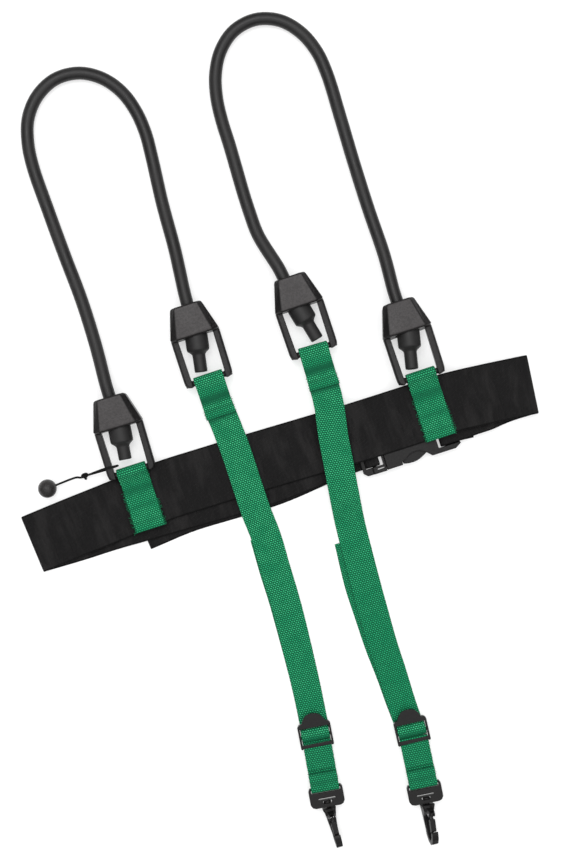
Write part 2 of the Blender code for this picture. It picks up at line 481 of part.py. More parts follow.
for side_name, spec in SIDES.items():
    s = STRAPS[side_name]
    bar = plan(*spec["belt_bar"], spec["belt_bar_z"])
    belt_frame = frame_at(bar, spec["belt_tilt"], spec["belt_pitch"])
    belt_pivot = pivot(side_name + "_belt_clip_axis", belt_frame)
    clip(side_name + "_belt_clip", belt_frame, belt_pivot, belt_frame)

    # tab sewn on the belt, round the clip's bar
    end = plan(*spec["tab_end"])
    away = end - Vector((bar.x, bar.y, 0))
    length = away.length * 1000
    heading = math.degrees(math.atan2(away.x, -away.y))
    pts, _ = loop_section(spec["belt_bar_z"], lambda t: spec["tab_top"], lambda t: spec["tab_low"], length, length)
    pts = pts[:5] + [(9.5, spec["tab_top"] + (1.4 if side_name == "left" else 0.6))] + pts[5:] + [(length - 1.5, spec["tab_low"])]
    tab = place_section(pts, bar, heading)
    across = Matrix.Rotation(math.radians(heading), 3, "Z") @ Vector((-1, 0, 0))
    ribbon(side_name + "_belt_tab", stations_along(tab, [across] * len(tab), [STRAP_W] * len(tab)), STRAP_T, WORLD, WEB_GREEN)

    # strap clip and the tube between the two
    sbar = plan(*spec["strap_bar"], HEAD_HALF_T)
    strap_frame = frame_at(sbar, spec["strap_tilt"])
    bulb_middle = Matrix.Translation((0, 0.034, 0))
    end_frame = strap_frame @ bulb_middle @ Matrix.Rotation(math.radians(spec["tube_tilt"] - spec["strap_tilt"]), 4, "Z") @ bulb_middle.inverted()
    tube_pivot = pivot(side_name + "_tube_axis", belt_frame @ Matrix.Translation((0, 0.034, 0)))
    strap_clip_pivot = pivot(side_name + "_strap_clip_axis", end_frame @ bulb_middle)
    clip(side_name + "_strap_clip", strap_frame, strap_clip_pivot, end_frame)
    tube_end(side_name, "belt", belt_frame, spec["belt_bulb"], 10.4 if side_name == "left" else 6.9, tube_pivot)
    tube_end(side_name, "strap", end_frame, spec["strap_bulb"], 7.0, tube_pivot)
    a, b = TUBES[side_name], []
    start = [belt_frame @ Vector((0, y * 0.001, 0)) for y in (50.2, 58, 66, 76)]
    finish = [end_frame @ Vector((0, y * 0.001, 0)) for y in (76, 66, 58, 50.2)]
    floor_z = TUBE_R + 0.1
    middle = []
    for i, (u, v) in enumerate(a):
        near = min(i, len(a) - 1 - i)
        middle.append(plan(u, v, floor_z + (2.6 if near == 0 else 0.5 if near == 1 else 0.0)))
    cord_curve(side_name + "_tube", spline_through(start + middle + finish, 34), TUBE_R, RUBBER, 3, tube_pivot)

    # long strap: its sewn end on top, round the bar, then under and down to the slider
    first = plan(*s["route"][0])
    heading = math.degrees(math.atan2(first.x - sbar.x, -(first.y - sbar.y)))
    reach = (first - Vector((sbar.x, sbar.y, 0))).length * 1000
    lowest = 2.55

    def run_z(t, s=s, lowest=lowest):
        c0, c1 = s["cross"]
        return profile(t, [(10, 11.7), (c0 - 6, s["over"]), (c1, s["over"]), (s["floor"], lowest), (999, lowest)])

    overlap = 33.0
    pts, _ = loop_section(HEAD_HALF_T, lambda t: run_z(t) + STRAP_T + 0.25, run_z, overlap, 0)
    head = place_section(pts, sbar, heading)
    down = Matrix.Rotation(math.radians(heading), 3, "Z") @ Vector((0, -1, 0))
    plan_pts = [Vector((sbar.x, sbar.y, 0)) + down * 0.013] + [plan(u, v) for u, v in s["route"]]
    body_pts = spline_through(plan_pts, 34)[1:]
    run, walked, last = [], 13.0, plan_pts[0]
    for p in body_pts:
        walked += (p - last).length * 1000
        last = p
        run.append(Vector((p.x, p.y, run_z(walked) * 0.001)))
    across = Matrix.Rotation(math.radians(heading), 3, "Z") @ Vector((-1, 0, 0))
    line = head + run
    sides = [across] * len(head) + [-d for d in flat_sides([head[-1]] + run)[1:]]
    widths = [STRAP_W] * len(head) + [strap_width(PLAN_CENTRE[1] - p.y / PLAN_SCALE) for p in run]
    # the turned part's across runs the other way round the bar, so both parts share one hand
    strap_pivot = pivot(side_name + "_strap_axis", frame_at(sbar, heading))
    ribbon(side_name + "_long_strap", stations_along(line, sides, widths), STRAP_T, strap_pivot.matrix_world.copy(), WEB_GREEN, strap_pivot)

    # slider (ladder lock): x across, y up the strap
    slide_frame = frame_at(plan(*s["slider"], 0), s["slider_tilt"])
    slide_pivot = pivot(side_name + "_slider_axis", slide_frame)
    tail_pts = spline_through([plan(u, v, STRAP_T / 2) for u, v in s["tail"]], 18)
    ribbon(side_name + "_strap_tail", stations_along(tail_pts, flat_sides(tail_pts), [strap_width(PLAN_CENTRE[1] - p.y / PLAN_SCALE) for p in tail_pts]),
           STRAP_T, slide_frame, WEB_GREEN, slide_pivot)
    h, hi = SLIDER_W / 2, SLIDER_IN / 2
    bm = bmesh.new()
    prism(bm, [(-h + 0.5, -9.5), (h - 0.5, -9.5), (h, -8.7), (h, 9.4), (h - 1.5, 11.4), (10.0, 12.0), (8.8, 15.0), (6.4, 17.9), (3.6, 19.4), (0, 19.8),
               (-3.6, 19.4), (-6.4, 17.9), (-8.8, 15.0), (-10.0, 12.0), (-h + 1.5, 11.4), (-h, 9.4), (-h, -8.7)], 4.0, 9.6)
    slider = to_object(side_name + "_slider", bm, slide_frame, PLASTIC, slide_pivot)
    bm = bmesh.new()
    box(bm, (-hi, -12, 1), (hi, 7.6, 12))
    cut(slider, cutter(side_name + "_slider_window", bm, slide_frame))
    bm = bmesh.new()
    box(bm, (-hi - 0.6, -1.3, 4.2), (hi + 0.6, 1.3, 6.6))
    cut(slider, cutter(side_name + "_slider_crossbar", bm, slide_frame), "UNION")
    for where, lo, hi2 in (("loop_bar", (-7.9, 5.35), (-6.5, 6.65)), ("cover_bar", (-9.0, 8.7), (-5.9, 9.7))):
        bm = bmesh.new()
        box(bm, (-hi - 0.6, *lo), (hi + 0.6, *hi2))
        cut(slider, cutter(f"{side_name}_slider_{where}", bm, slide_frame), "UNION")
    bm = bmesh.new()
    prism(bm, [(-20, 12.4), (20, 12.4), (20, 30), (-20, 30)], 2, 7.2)
    cut(slider, cutter(side_name + "_slider_tab_relief", bm, slide_frame))
    arch = [(-3.8, 5.0), (-3.1, 6.7), (-1.5, 7.9), (1.6, 7.9), (4.9, 7.0), (6.6, 5.2)]
    wrap = [slide_frame @ Vector((0, y * 0.001, z * 0.001)) for y, z in arch]
    x_axis = slide_frame.to_3x3() @ Vector((1, 0, 0))
    ribbon(side_name + "_slider_wrap", stations_along(wrap, [x_axis] * 6, [SLIDER_IN - 0.6] * 6), 1.2, slide_frame, WEB_GREEN, slide_pivot)

    # hook strap between the slider's lower bar and the hook's base
    base_frame = frame_at(plan(*s["base"], 7.0), s["hook_tilt"])
    low_bar = slide_frame @ Vector((0, -0.0072, 0.0060))
    base_bar = base_frame @ Vector((0, 0.0066, 0))
    d = base_bar - low_bar
    d.z = 0
    span, dirn = d.length * 1000, d.normalized()

    def at(t, z, low_bar=low_bar, dirn=dirn):
        return Vector((low_bar.x, low_bar.y, 0)) + dirn * (t * 0.001) + Z * (z * 0.001)
    r = 2.95
    arcs = [(span - 13, 9.3), (span - 7, 9.8)]
    arcs += [(span + r * math.cos(math.radians(q)), 7.0 + r * math.sin(math.radians(q))) for q in (110, 75, 40, 0, -40, -75, -105)]
    arcs += [(span - 6, 5.0), (span - 14, 6.2), (10, 5.0), (4.5, 4.2)]
    arcs += [(1.9 * math.cos(math.radians(q)), 6.0 + 1.9 * math.sin(math.radians(q))) for q in (-75, -120, -150, -180, -210, -240, -282)]
    arcs += [(4.5, 7.9), (9, 8.5), (span - 16.5, 8.6)]
    strap = [at(t, z) for t, z in arcs]
    sx = Z.cross(dirn)
    ribbon(side_name + "_hook_strap", stations_along(strap, [sx] * len(strap), [24.2] * len(strap)), 1.2, slide_frame, WEB_GREEN, slide_pivot)

    # hook base: a flat loop with a socket for the hook's stem
    base_pivot = pivot(side_name + "_hook_base_axis", base_frame @ Matrix.Translation((0, 0.0066, 0)))
    w, wi = BASE_W / 2, BASE_IN / 2
    bm = bmesh.new()
    prism(bm, [(-w + 4.2, -10.0), (w - 4.2, -10.0), (w - 1.6, -9.0), (w, -6.4), (w, 5.0), (w - 1.0, 7.2), (w - 3.2, 7.9),
               (-w + 3.2, 7.9), (-w + 1.0, 7.2), (-w, 5.0), (-w, -6.4), (-w + 1.6, -9.0)], -2.6, 2.6)
    base = to_object(side_name + "_hook_base", bm, base_frame, PLASTIC, base_pivot)
    for where, lo, hi2 in (("slot", (-wi, 2.7, -5), (wi, 5.3, 5)), ("socket", (-3.7, -7.0, -5), (3.7, -4.4, 5)), ("window", (-7.4, -3.5, -5), (7.4, -2.1, 5)),
                           ("bar_top", (-wi, 5.0, 1.3), (wi, 10, 5)), ("bar_under", (-wi, 5.0, -5), (wi, 10, -1.3))):
        bm = bmesh.new()
        box(bm, lo, hi2)
        cut(base, cutter(f"{side_name}_hook_base_{where}", bm, base_frame))
    bm = bmesh.new()
    lathe(bm, [(0, -12), (2.4, -12), (2.4, -5), (0, -5)], 12)
    cut(base, cutter(side_name + "_hook_base_bore", bm, base_frame))

    # snap hook: its plane stands on edge, x across the hook, y along it
    hook_frame = (base_frame @ Matrix.Translation((0, -0.0085, 0)) @ Matrix.Rotation(math.radians(s["hook_lean"]), 4, "Z")
                  @ Matrix.Translation((0, 0.0085, 0)) @ Matrix.Rotation(math.radians(-s["hook_roll"]), 4, "Y"))
    hook_pivot = pivot(side_name + "_snap_hook_axis", hook_frame)
    bm = bmesh.new()
    prism(bm, [(-5, -13.4), (-6.0, -17), (-6.4, -24), (-6.4, -31), (-5.2, -38), (-1.5, -43.4), (3, -45.4), (7.5, -43.9), (10.4, -40), (11.4, -35.5),
               (10.6, -33.2), (9.6, -33.4), (8.2, -35.4), (6.6, -39), (3.4, -41.2), (0.2, -39.8), (-1.8, -36), (-2.2, -30), (-2.0, -22.6), (0.2, -19.4),
               (4.0, -18.8), (5.4, -20.4), (9.4, -20.4), (10.2, -18.4), (9.6, -15.6), (6, -13.4)], -2.75, 2.75)
    hook = to_object(side_name + "_snap_hook", bm, hook_frame, PLASTIC, hook_pivot)
    bm = bmesh.new()
    lathe(bm, [(0, -14), (5.4, -13.6), (5.9, -11.4), (5.0, -10.9), (1.8, -10.7), (1.8, -6.8), (3.3, -6.7), (3.3, -5.1), (2.6, -4.7), (0, -4.7)], 12)
    cut(hook, cutter(side_name + "_snap_hook_stem", bm, hook_frame), "UNION")
    bm = bmesh.new()
    loft(bm, [[Vector((x0, y, -z + 1.2)), Vector((x0 + 1.2, y, -z)), Vector((x1 - 1.2, y, -z)), Vector((x1, y, -z + 1.2)),
               Vector((x1, y, z - 1.2)), Vector((x1 - 1.2, y, z)), Vector((x0 + 1.2, y, z)), Vector((x0, y, z - 1.2))]
              for y, x0, x1, z in ((-11.0, -5.0, 4.8, 5.8), (-13.2, -5.4, 5.0, 5.2), (-16.6, -6.0, 4.3, 4.5), (-21.0, -6.35, -0.6, 4.0), (-26.0, -6.4, -2.1, 3.5), (-33.0, -6.2, -2.3, 2.9))])
    cut(hook, cutter(side_name + "_snap_hook_shoulder", bm, hook_frame), "UNION")
    bm = bmesh.new()
    box(bm, (3.4, -22, -1.3), (14, -15.4, 1.3))
    cut(hook, cutter(side_name + "_snap_hook_fork", bm, hook_frame))
    pin_frame = hook_frame @ Matrix.Translation((0.0074, -0.0182, 0)) @ Matrix.Rotation(math.radians(90), 4, "X")
    bm = bmesh.new()
    lathe(bm, [(0, -5), (1.1, -5), (1.1, 5), (0, 5)], 10)
    hole = cutter(side_name + "_gate_pin_hole", bm, pin_frame)
    cut(hook, hole)
    gate_pivot = pivot(side_name + "_hook_gate_axis", hook_frame @ Matrix.Translation((0.0074, -0.0182, 0)))
    gate_frame = gate_pivot.matrix_world.copy()
    bm = bmesh.new()
    prism(bm, [(-1.0, -4.6), (-1.9, -5.8), (-1.9, -15.6), (0.1, -15.6), (1.7, -14.2), (1.9, -4.6)], -2.3, 2.3)
    gate = to_object(side_name + "_hook_gate", bm, gate_frame, PLASTIC, gate_pivot)
    bm = bmesh.new()
    prism(bm, [(1.7, -5.2), (-1.2, -5.2)] + [(2.0 * math.cos(math.radians(q)), 2.0 * math.sin(math.radians(q))) for q in (190, 155, 120, 85, 50, 15, -15)], -1.0, 1.0)
    cut(gate, cutter(side_name + "_hook_gate_knuckle", bm, gate_frame), "UNION")
    cut(gate, hole)
    bm = bmesh.new()
    lathe(bm, [(0, -2.9), (0.8, -2.9), (0.8, 2.9), (0, 2.9)], 10)
    to_object(side_name + "_gate_pin", bm, pin_frame, STEEL, hook_pivot)


# ---------------------------------------------------------------- toggle on the left belt clip's leg
clip_frame = bpy.data.objects["left_belt_clip_axis"].matrix_world.copy()
toggle_pivot = pivot("toggle_axis", clip_frame @ Matrix.Translation((-0.0165, 0.0074, 0)))
knot = plan(84.3, 476.2, 3.4)
ball = plan(47.4, 488.6, BALL_R)
towards = (plan(70, 479.8, 0) - plan(57, 485, 0)).normalized()
bm = bmesh.new()
bmesh.ops.create_uvsphere(bm, u_segments=14, v_segments=9, radius=BALL_R)
ball_obj = to_object("toggle_ball", bm, Matrix.Translation(ball), PLASTIC, toggle_pivot)
bm = bmesh.new()
bmesh.ops.create_uvsphere(bm, u_segments=8, v_segments=6, radius=3.3)
knot_obj = to_object("toggle_knot", bm, Matrix.Translation(knot), CORD, toggle_pivot)
line = [ball + towards * (BALL_R + 0.3) * 0.001, plan(62.5, 482.4, 4.2), plan(70, 479.4, 1.15), plan(76, 477.6, 1.5), knot - towards * 0.0036]
cord_curve("toggle_cord", spline_through(line, 12), CORD_R, CORD, 2, toggle_pivot)
ring = [clip_frame @ Vector(((-16.9 + 6.8 * math.cos(math.radians(q))) * 0.001, (7.6 + 0.004 * q) * 0.001, 6.8 * math.sin(math.radians(q)) * 0.001))
        for q in (140, 100, 60, 20, -20, -60, -100, -140)]
into = (clip_frame @ Vector((-0.0225, 0.0076, 0)) - knot).normalized()
across = into.cross(Z).normalized()
noose = [knot + into * 0.0036 + Z * 0.0012] + ring + [knot + into * 0.0036 - Z * 0.0012]
cord_curve("toggle_noose", spline_through(noose, 24), CORD_R, CORD, 2, toggle_pivot)
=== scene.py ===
import math
import random

import bmesh
import bpy
import numpy as np
from mathutils import Matrix, Vector, noise


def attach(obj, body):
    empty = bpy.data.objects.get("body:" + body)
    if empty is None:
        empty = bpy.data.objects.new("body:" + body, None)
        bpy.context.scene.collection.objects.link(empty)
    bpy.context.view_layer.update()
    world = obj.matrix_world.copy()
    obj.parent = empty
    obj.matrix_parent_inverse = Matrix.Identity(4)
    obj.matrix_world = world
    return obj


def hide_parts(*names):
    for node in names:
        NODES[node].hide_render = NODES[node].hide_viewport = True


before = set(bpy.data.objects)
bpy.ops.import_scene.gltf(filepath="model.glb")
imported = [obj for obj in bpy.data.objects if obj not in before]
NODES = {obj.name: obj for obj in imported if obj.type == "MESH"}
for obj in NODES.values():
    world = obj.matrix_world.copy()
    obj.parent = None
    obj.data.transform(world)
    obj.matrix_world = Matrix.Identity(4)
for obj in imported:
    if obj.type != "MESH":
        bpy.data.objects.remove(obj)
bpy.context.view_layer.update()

PLAN_SCALE = 0.00085
PLAN_CENTRE = (279.73, 560.27)
BELT_W, BELT_T = 50.8, 1.8
STRAP_W, STRAP_T = 25.4, 1.6
TUBE_R = 5.5
BAR_R = 2.6
LOOP_R = BAR_R + 0.6 + STRAP_T / 2
HEAD_HALF_T = 12.5
BULB_R = 9.8
SLIDER_IN = 24.9
BALL_R, CORD_R = 7.9, 0.9
Z = Vector((0, 0, 1))


# ---------------------------------------------------------------- geometry helpers
def plan(u, v, z=0.0):
    return Vector(((u - PLAN_CENTRE[0]) * PLAN_SCALE, (PLAN_CENTRE[1] - v) * PLAN_SCALE, z * 0.001))


def smooth_step(x, a, b):
    t = min(max((x - a) / (b - a), 0.0), 1.0)
    return t * t * (3.0 - 2.0 * t)


def bump_at(x, middle, half):
    t = abs(x - middle) / half
    return 0.0 if t >= 1 else (1 - t * t) ** 2


def profile(x, stops):
    for (a, va), (b, vb) in zip(stops, stops[1:]):
        if x <= b:
            return va + (vb - va) * smooth_step(x, a, b)
    return stops[-1][1]


def frame_at(origin, tilt_deg, pitch_deg=0.0):
    rot = Matrix.Rotation(math.radians(tilt_deg), 4, "Z") @ Matrix.Rotation(math.radians(-pitch_deg), 4, "X")
    return Matrix.Translation(origin) @ rot


def spline_fine(points, per=24):
    """Centripetal Catmull-Rom: fine points, and where each lies between the given ones."""
    p = [np.array(q, float) for q in points]
    p = [2 * p[0] - p[1]] + p + [2 * p[-1] - p[-2]]
    fine, where = [], []
    for i in range(1, len(p) - 2):
        t = [0.0]
        for a, b in zip(p[i - 1:i + 2], p[i:i + 3]):
            t.append(t[-1] + max(np.linalg.norm(b - a), 1e-9) ** 0.5)
        for n, s in enumerate(np.linspace(t[1], t[2], per, endpoint=False)):
            a1 = ((t[1] - s) * p[i - 1] + (s - t[0]) * p[i]) / (t[1] - t[0])
            a2 = ((t[2] - s) * p[i] + (s - t[1]) * p[i + 1]) / (t[2] - t[1])
            a3 = ((t[3] - s) * p[i + 1] + (s - t[2]) * p[i + 2]) / (t[3] - t[2])
            b1 = ((t[2] - s) * a1 + (s - t[0]) * a2) / (t[2] - t[0])
            b2 = ((t[3] - s) * a2 + (s - t[1]) * a3) / (t[3] - t[1])
            fine.append(((t[2] - s) * b1 + (s - t[1]) * b2) / (t[2] - t[1]))
            where.append(i - 1 + n / per)
    fine.append(p[-2])
    where.append(len(p) - 3)
    return np.array(fine), np.array(where)


def run_of(fine):
    return np.concatenate([[0], np.cumsum(np.linalg.norm(np.diff(fine, axis=0), axis=1))])


def spline_through(points, count):
    fine, _ = spline_fine(points)
    run = run_of(fine)
    at = np.linspace(0, run[-1], count)
    return [Vector([np.interp(s, run, fine[:, k]) for k in range(3)]) for s in at]


def flat_sides(points):
    sides = []
    for i, p in enumerate(points):
        d = points[min(i + 1, len(points) - 1)] - points[max(i - 1, 0)]
        d.z = 0
        sides.append(d.normalized().cross(Z) if d.length > 1e-9 else sides[-1])
    return sides


def make(name, bm, body, mat, replaced=(), sharp=40):
    bmesh.ops.recalc_face_normals(bm, faces=bm.faces)
    mesh = bpy.data.meshes.new(name)
    bm.to_mesh(mesh)
    bm.free()
    mesh.shade_smooth()
    if sharp:
        mesh.set_sharp_from_angle(angle=math.radians(sharp))
    mesh.materials.append(mat)
    obj = bpy.data.objects.new(name, mesh)
    bpy.context.scene.collection.objects.link(obj)
    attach(obj, body)
    if replaced:
        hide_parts(*replaced)
    return obj


def web(name, body, points, sides, widths, thick, mat, replaced=(), step=0.9, cols=16, zone=None, painted_shade=None, wave=None, edge=0.05, seed=0):
    """Flat webbing with rounded selvages along world points. Returns the object, its length and its station frames."""
    fine, where = spline_fine(points)
    run = run_of(fine)
    count = max(int(run[-1] * 1000 / step), 8)
    at = np.linspace(0, run[-1], count + 1)
    S = np.array([list(s) for s in sides])
    W = np.array(widths, float)
    mids = np.stack([np.interp(at, run, fine[:, k]) for k in range(3)], 1)
    idx = np.interp(at, run, where)
    side = np.stack([np.interp(idx, range(len(S)), S[:, k]) for k in range(3)], 1)
    wide = np.interp(idx, range(len(W)), W)
    bm = bmesh.new()
    lay_web = bm.verts.layers.float_vector.new("web")
    lay_painted_shade = bm.verts.layers.float.new("painted_shade")
    rows, stations = [], []
    for i, p in enumerate(mids):
        tangent = Vector(mids[min(i + 1, count)] - mids[max(i - 1, 0)]).normalized()
        across = Vector(side[i])
        across = (across - tangent * across.dot(tangent)).normalized()
        up = across.cross(tangent).normalized()
        v = at[i] * 1000
        half = wide[i] / 2
        r = thick / 2
        xs = [-half, -half + 0.12 * r, -half + 0.45 * r, -half + 1.1 * r]
        xs += [x for x in np.linspace(-half + 2.4 * r, half - 2.4 * r, cols - 6)]
        xs += [half - 1.1 * r, half - 0.45 * r, half - 0.12 * r, half]
        z_add = wave(v) if wave else 0.0
        z_zone = zone(v) if zone else 1.0
        # painted shade: how far this station is darkened towards the webbing's deep colour, kept as a vertex attribute
        z_painted_shade = painted_shade(v) if painted_shade else 0.0
        ring = []
        wob = [edge * (noise.noise(Vector((v * 0.9, 7.3 * k + seed, seed))) + 0.6 * noise.noise(Vector((v * 2.7, 3.1 * k, seed + 5)))) for k in (0, 1)]
        for face in (1, -1):
            span = range(len(xs)) if face > 0 else range(len(xs) - 2, 0, -1)
            for k in span:
                x = xs[k]
                into = half - abs(x)
                h = r * math.sqrt(max(0.0, 1 - max(0.0, (r - into) / r) ** 2)) * face
                push = wob[0] if x < 0 else wob[1]
                share = max(0.0, 1 - into / 3.0)
                x2 = x + (push if x > 0 else -push) * share
                ridge = 0.06 * thick * bump_at(into, 1.6 * r, 1.4 * r) * face
                co = Vector(p) + across * (x2 * 0.001) + up * ((h - ridge * 0 + z_add) * 0.001)
                vert = bm.verts.new(co)
                vert[lay_web] = (x, v, z_zone)
                vert[lay_painted_shade] = z_painted_shade
                ring.append(vert)
        rows.append(ring)
        stations.append((Vector(p), across, tangent, up, v, half))
    n = len(rows[0])
    for a, b in zip(rows, rows[1:]):
        for i in range(n):
            j = (i + 1) % n
            bm.faces.new((a[i], a[j], b[j], b[i]))
    top = len(xs)
    for ring in (rows[0], rows[-1]):
        for k in range(top - 1):
            low_a = ring[0] if k == 0 else ring[n - k]
            low_b = ring[top - 1] if k == top - 2 else ring[n - k - 1]
            quad = [ring[k], ring[k + 1], low_b, low_a]
            quad = [q for m, q in enumerate(quad) if q not in quad[:m]]
            if len(quad) >= 3:
                bm.faces.new(quad)
    obj = make(name, bm, body, mat, replaced, 50)
    return obj, float(run[-1]), stations


def at_length(stations, v):
    return min(stations, key=lambda s: abs(s[4] - v))


def capsule(bm, a, b, up, r, sides=6, arch=0.0):
    """A short thread from a to b, standing proud by its arch in the middle."""
    along = (b - a)
    length = along.length
    along = along.normalized()
    sidev = along.cross(up).normalized()
    up2 = sidev.cross(along)
    rows = []
    for t, k in ((0.0, 0.35), (0.12, 0.8), (0.35, 1.0), (0.65, 1.0), (0.88, 0.8), (1.0, 0.35)):
        mid = a + along * (length * t) + up2 * (arch * math.sin(math.pi * t))
        rows.append([bm.verts.new(mid + sidev * (r * k * math.cos(2 * math.pi * q / sides)) + up2 * (r * k * math.sin(2 * math.pi * q / sides))) for q in range(sides)])
    for p, q in zip(rows, rows[1:]):
        for i in range(sides):
            j = (i + 1) % sides
            bm.faces.new((p[i], p[j], q[j], q[i]))
    bm.faces.new(rows[0][::-1])
    bm.faces.new(rows[-1])


def stitch_rows(name, body, stations, rows, thick, mat, face=1, pitch=3.0, length=2.2, r=0.28, across=None):
    """Thread rows across the webbing at the lengths in rows, or boxes along it with across=(x0, x1)."""
    bm = bmesh.new()
    for v in rows:
        p, side, tangent, up, _, half = at_length(stations, v)
        x = -half + 1.8
        while x < half - 1.8 - length * 0.5:
            h = face * (thick / 2 + r * 0.15)
            a = p + side * (x * 0.001) + up * (h * 0.001)
            b = p + side * ((x + length) * 0.001) + up * (h * 0.001)
            capsule(bm, a, b, up * face, r * 0.001, 6, 0.00012)
            x += pitch
    for x in (across or ()):
        v = rows[0]
        while v < rows[-1] - length * 0.5:
            p, side, tangent, up, _, half = at_length(stations, v)
            q = at_length(stations, v + length)
            h = face * (thick / 2 + r * 0.15)
            capsule(bm, p + side * (x * 0.001) + up * (h * 0.001), q[0] + q[1] * (x * 0.001) + q[3] * (h * 0.001), up * face, r * 0.001, 6, 0.00012)
            v += pitch
    return make(name, bm, body, mat, (), None)


def fray(name, body, stations, spans, thick, mat, seed, per_mm=0.9, reach=1.6, r=0.16):
    """Loose yarn ends that stand out of the selvage between the given lengths."""
    rng = random.Random(seed)
    bm = bmesh.new()
    for v0, v1, hand in spans:
        v = v0
        while v < v1:
            p, side, tangent, up, _, half = at_length(stations, v)
            out = side * hand
            root = p + out * ((half - 0.5) * 0.001) + up * (rng.uniform(-0.3, 0.4) * thick * 0.001)
            bend = tangent * rng.uniform(-0.9, 0.9) + up * rng.uniform(-0.15, 0.35)
            size = reach * rng.uniform(0.4, 1.25)
            pts = [root + (out * t + bend * (t * t * 0.8)) * (size * 0.001) + Z * (0.0001 * t) for t in (0, 0.35, 0.7, 1.0)]
            for a, b in zip(pts, pts[1:]):
                capsule(bm, a, b + (b - a) * 0.15, up, r * 0.001, 5)
            v += rng.uniform(0.5, 1.5) / per_mm
    return make(name, bm, body, mat, (), None)


def lathe_mesh(bm, turned, sides, place):
    """Closed body turned about the local y axis of place from (r, y) mm points."""
    rows = []
    for r, y in turned:
        if r < 1e-9:
            rows.append([bm.verts.new(place @ Vector((0, y * 0.001, 0)))])
        else:
            rows.append([bm.verts.new(place @ Vector((r * 0.001 * math.cos(2 * math.pi * k / sides), y * 0.001, r * 0.001 * math.sin(2 * math.pi * k / sides)))) for k in range(sides)])
    for a, b in zip(rows, rows[1:]):
        for k in range(sides):
            m = (k + 1) % sides
            if len(a) == 1:
                bm.faces.new((a[0], b[m], b[k]))
            elif len(b) == 1:
                bm.faces.new((a[k], a[m], b[0]))
            else:
                bm.faces.new((a[k], a[m], b[m], b[k]))


def rounded(turned, steps=5):
    """Corner-cutting of a turned outline, which keeps its ends."""
    pts = [np.array(p, float) for p in turned]
    for _ in range(2):
        out = [pts[0]]
        for a, b in zip(pts, pts[1:]):
            out += [a * 0.75 + b * 0.25, a * 0.25 + b * 0.75]
        out.append(pts[-1])
        pts = out
    return [(max(float(p[0]), 0.0), float(p[1])) for p in pts]


# ---------------------------------------------------------------- materials
def new_material(name, rough=0.5, spec=0.5, sheen=0.0, sheen_tint=(1, 1, 1), coat=0.0, metallic=0.0):
    mat = bpy.data.materials.new(name)
    mat.use_nodes = True
    tree = mat.node_tree
    bsdf = tree.nodes["Principled BSDF"]
    bsdf.inputs["Roughness"].default_value = rough
    bsdf.inputs["Specular IOR Level"].default_value = spec
    bsdf.inputs["Metallic"].default_value = metallic
    bsdf.inputs["Sheen Weight"].default_value = sheen
    bsdf.inputs["Sheen Roughness"].default_value = 0.5
    bsdf.inputs["Sheen Tint"].default_value = (*sheen_tint, 1)
    bsdf.inputs["Coat Weight"].default_value = coat
    return mat, tree, bsdf


def calc(tree, op, a, b=None, c=None, clamp=False):
    node = tree.nodes.new("ShaderNodeMath")
    node.operation = op
    node.use_clamp = clamp
    for socket, value in zip(node.inputs, (a, b, c)):
        if value is None:
            continue
        if isinstance(value, (int, float)):
            socket.default_value = value
        else:
            tree.links.new(value, socket)
    return node.outputs[0]


def spread(tree, value, a, b, lo=0.0, hi=1.0):
    node = tree.nodes.new("ShaderNodeMapRange")
    node.interpolation_type = "SMOOTHSTEP"
    tree.links.new(value, node.inputs["Value"])
    for key, val in (("From Min", a), ("From Max", b), ("To Min", lo), ("To Max", hi)):
        node.inputs[key].default_value = val
    return node.outputs["Result"]


def mix(tree, factor, a, b, mode="MIX"):
    node = tree.nodes.new("ShaderNodeMix")
    node.data_type = "RGBA"
    node.blend_type = mode
    for key, val in ((0, factor), (6, a), (7, b)):
        socket = node.inputs[key]
        if isinstance(val, (int, float)):
            socket.default_value = val
        elif isinstance(val, tuple):
            socket.default_value = (*val, 1.0)
        else:
            tree.links.new(val, socket)
    return node.outputs[2]


def noise_tex(tree, vector, scale, detail=3.0, rough=0.55):
    node = tree.nodes.new("ShaderNodeTexNoise")
    node.inputs["Scale"].default_value = scale
    node.inputs["Detail"].default_value = detail
    node.inputs["Roughness"].default_value = rough
    if vector is not None:
        tree.links.new(vector, node.inputs["Vector"])
    return node.outputs["Fac"]


def place_coords(tree):
    return tree.nodes.new("ShaderNodeTexCoord").outputs["Object"]


def bump(tree, bsdf, height, distance, strength=1.0, under=None):
    node = tree.nodes.new("ShaderNodeBump")
    node.inputs["Distance"].default_value = distance
    node.inputs["Strength"].default_value = strength
    tree.links.new(height, node.inputs["Height"])
    if under is not None:
        tree.links.new(under, node.inputs["Normal"])
    if bsdf is not None:
        tree.links.new(node.outputs["Normal"], bsdf.inputs["Normal"])
    return node.outputs["Normal"]


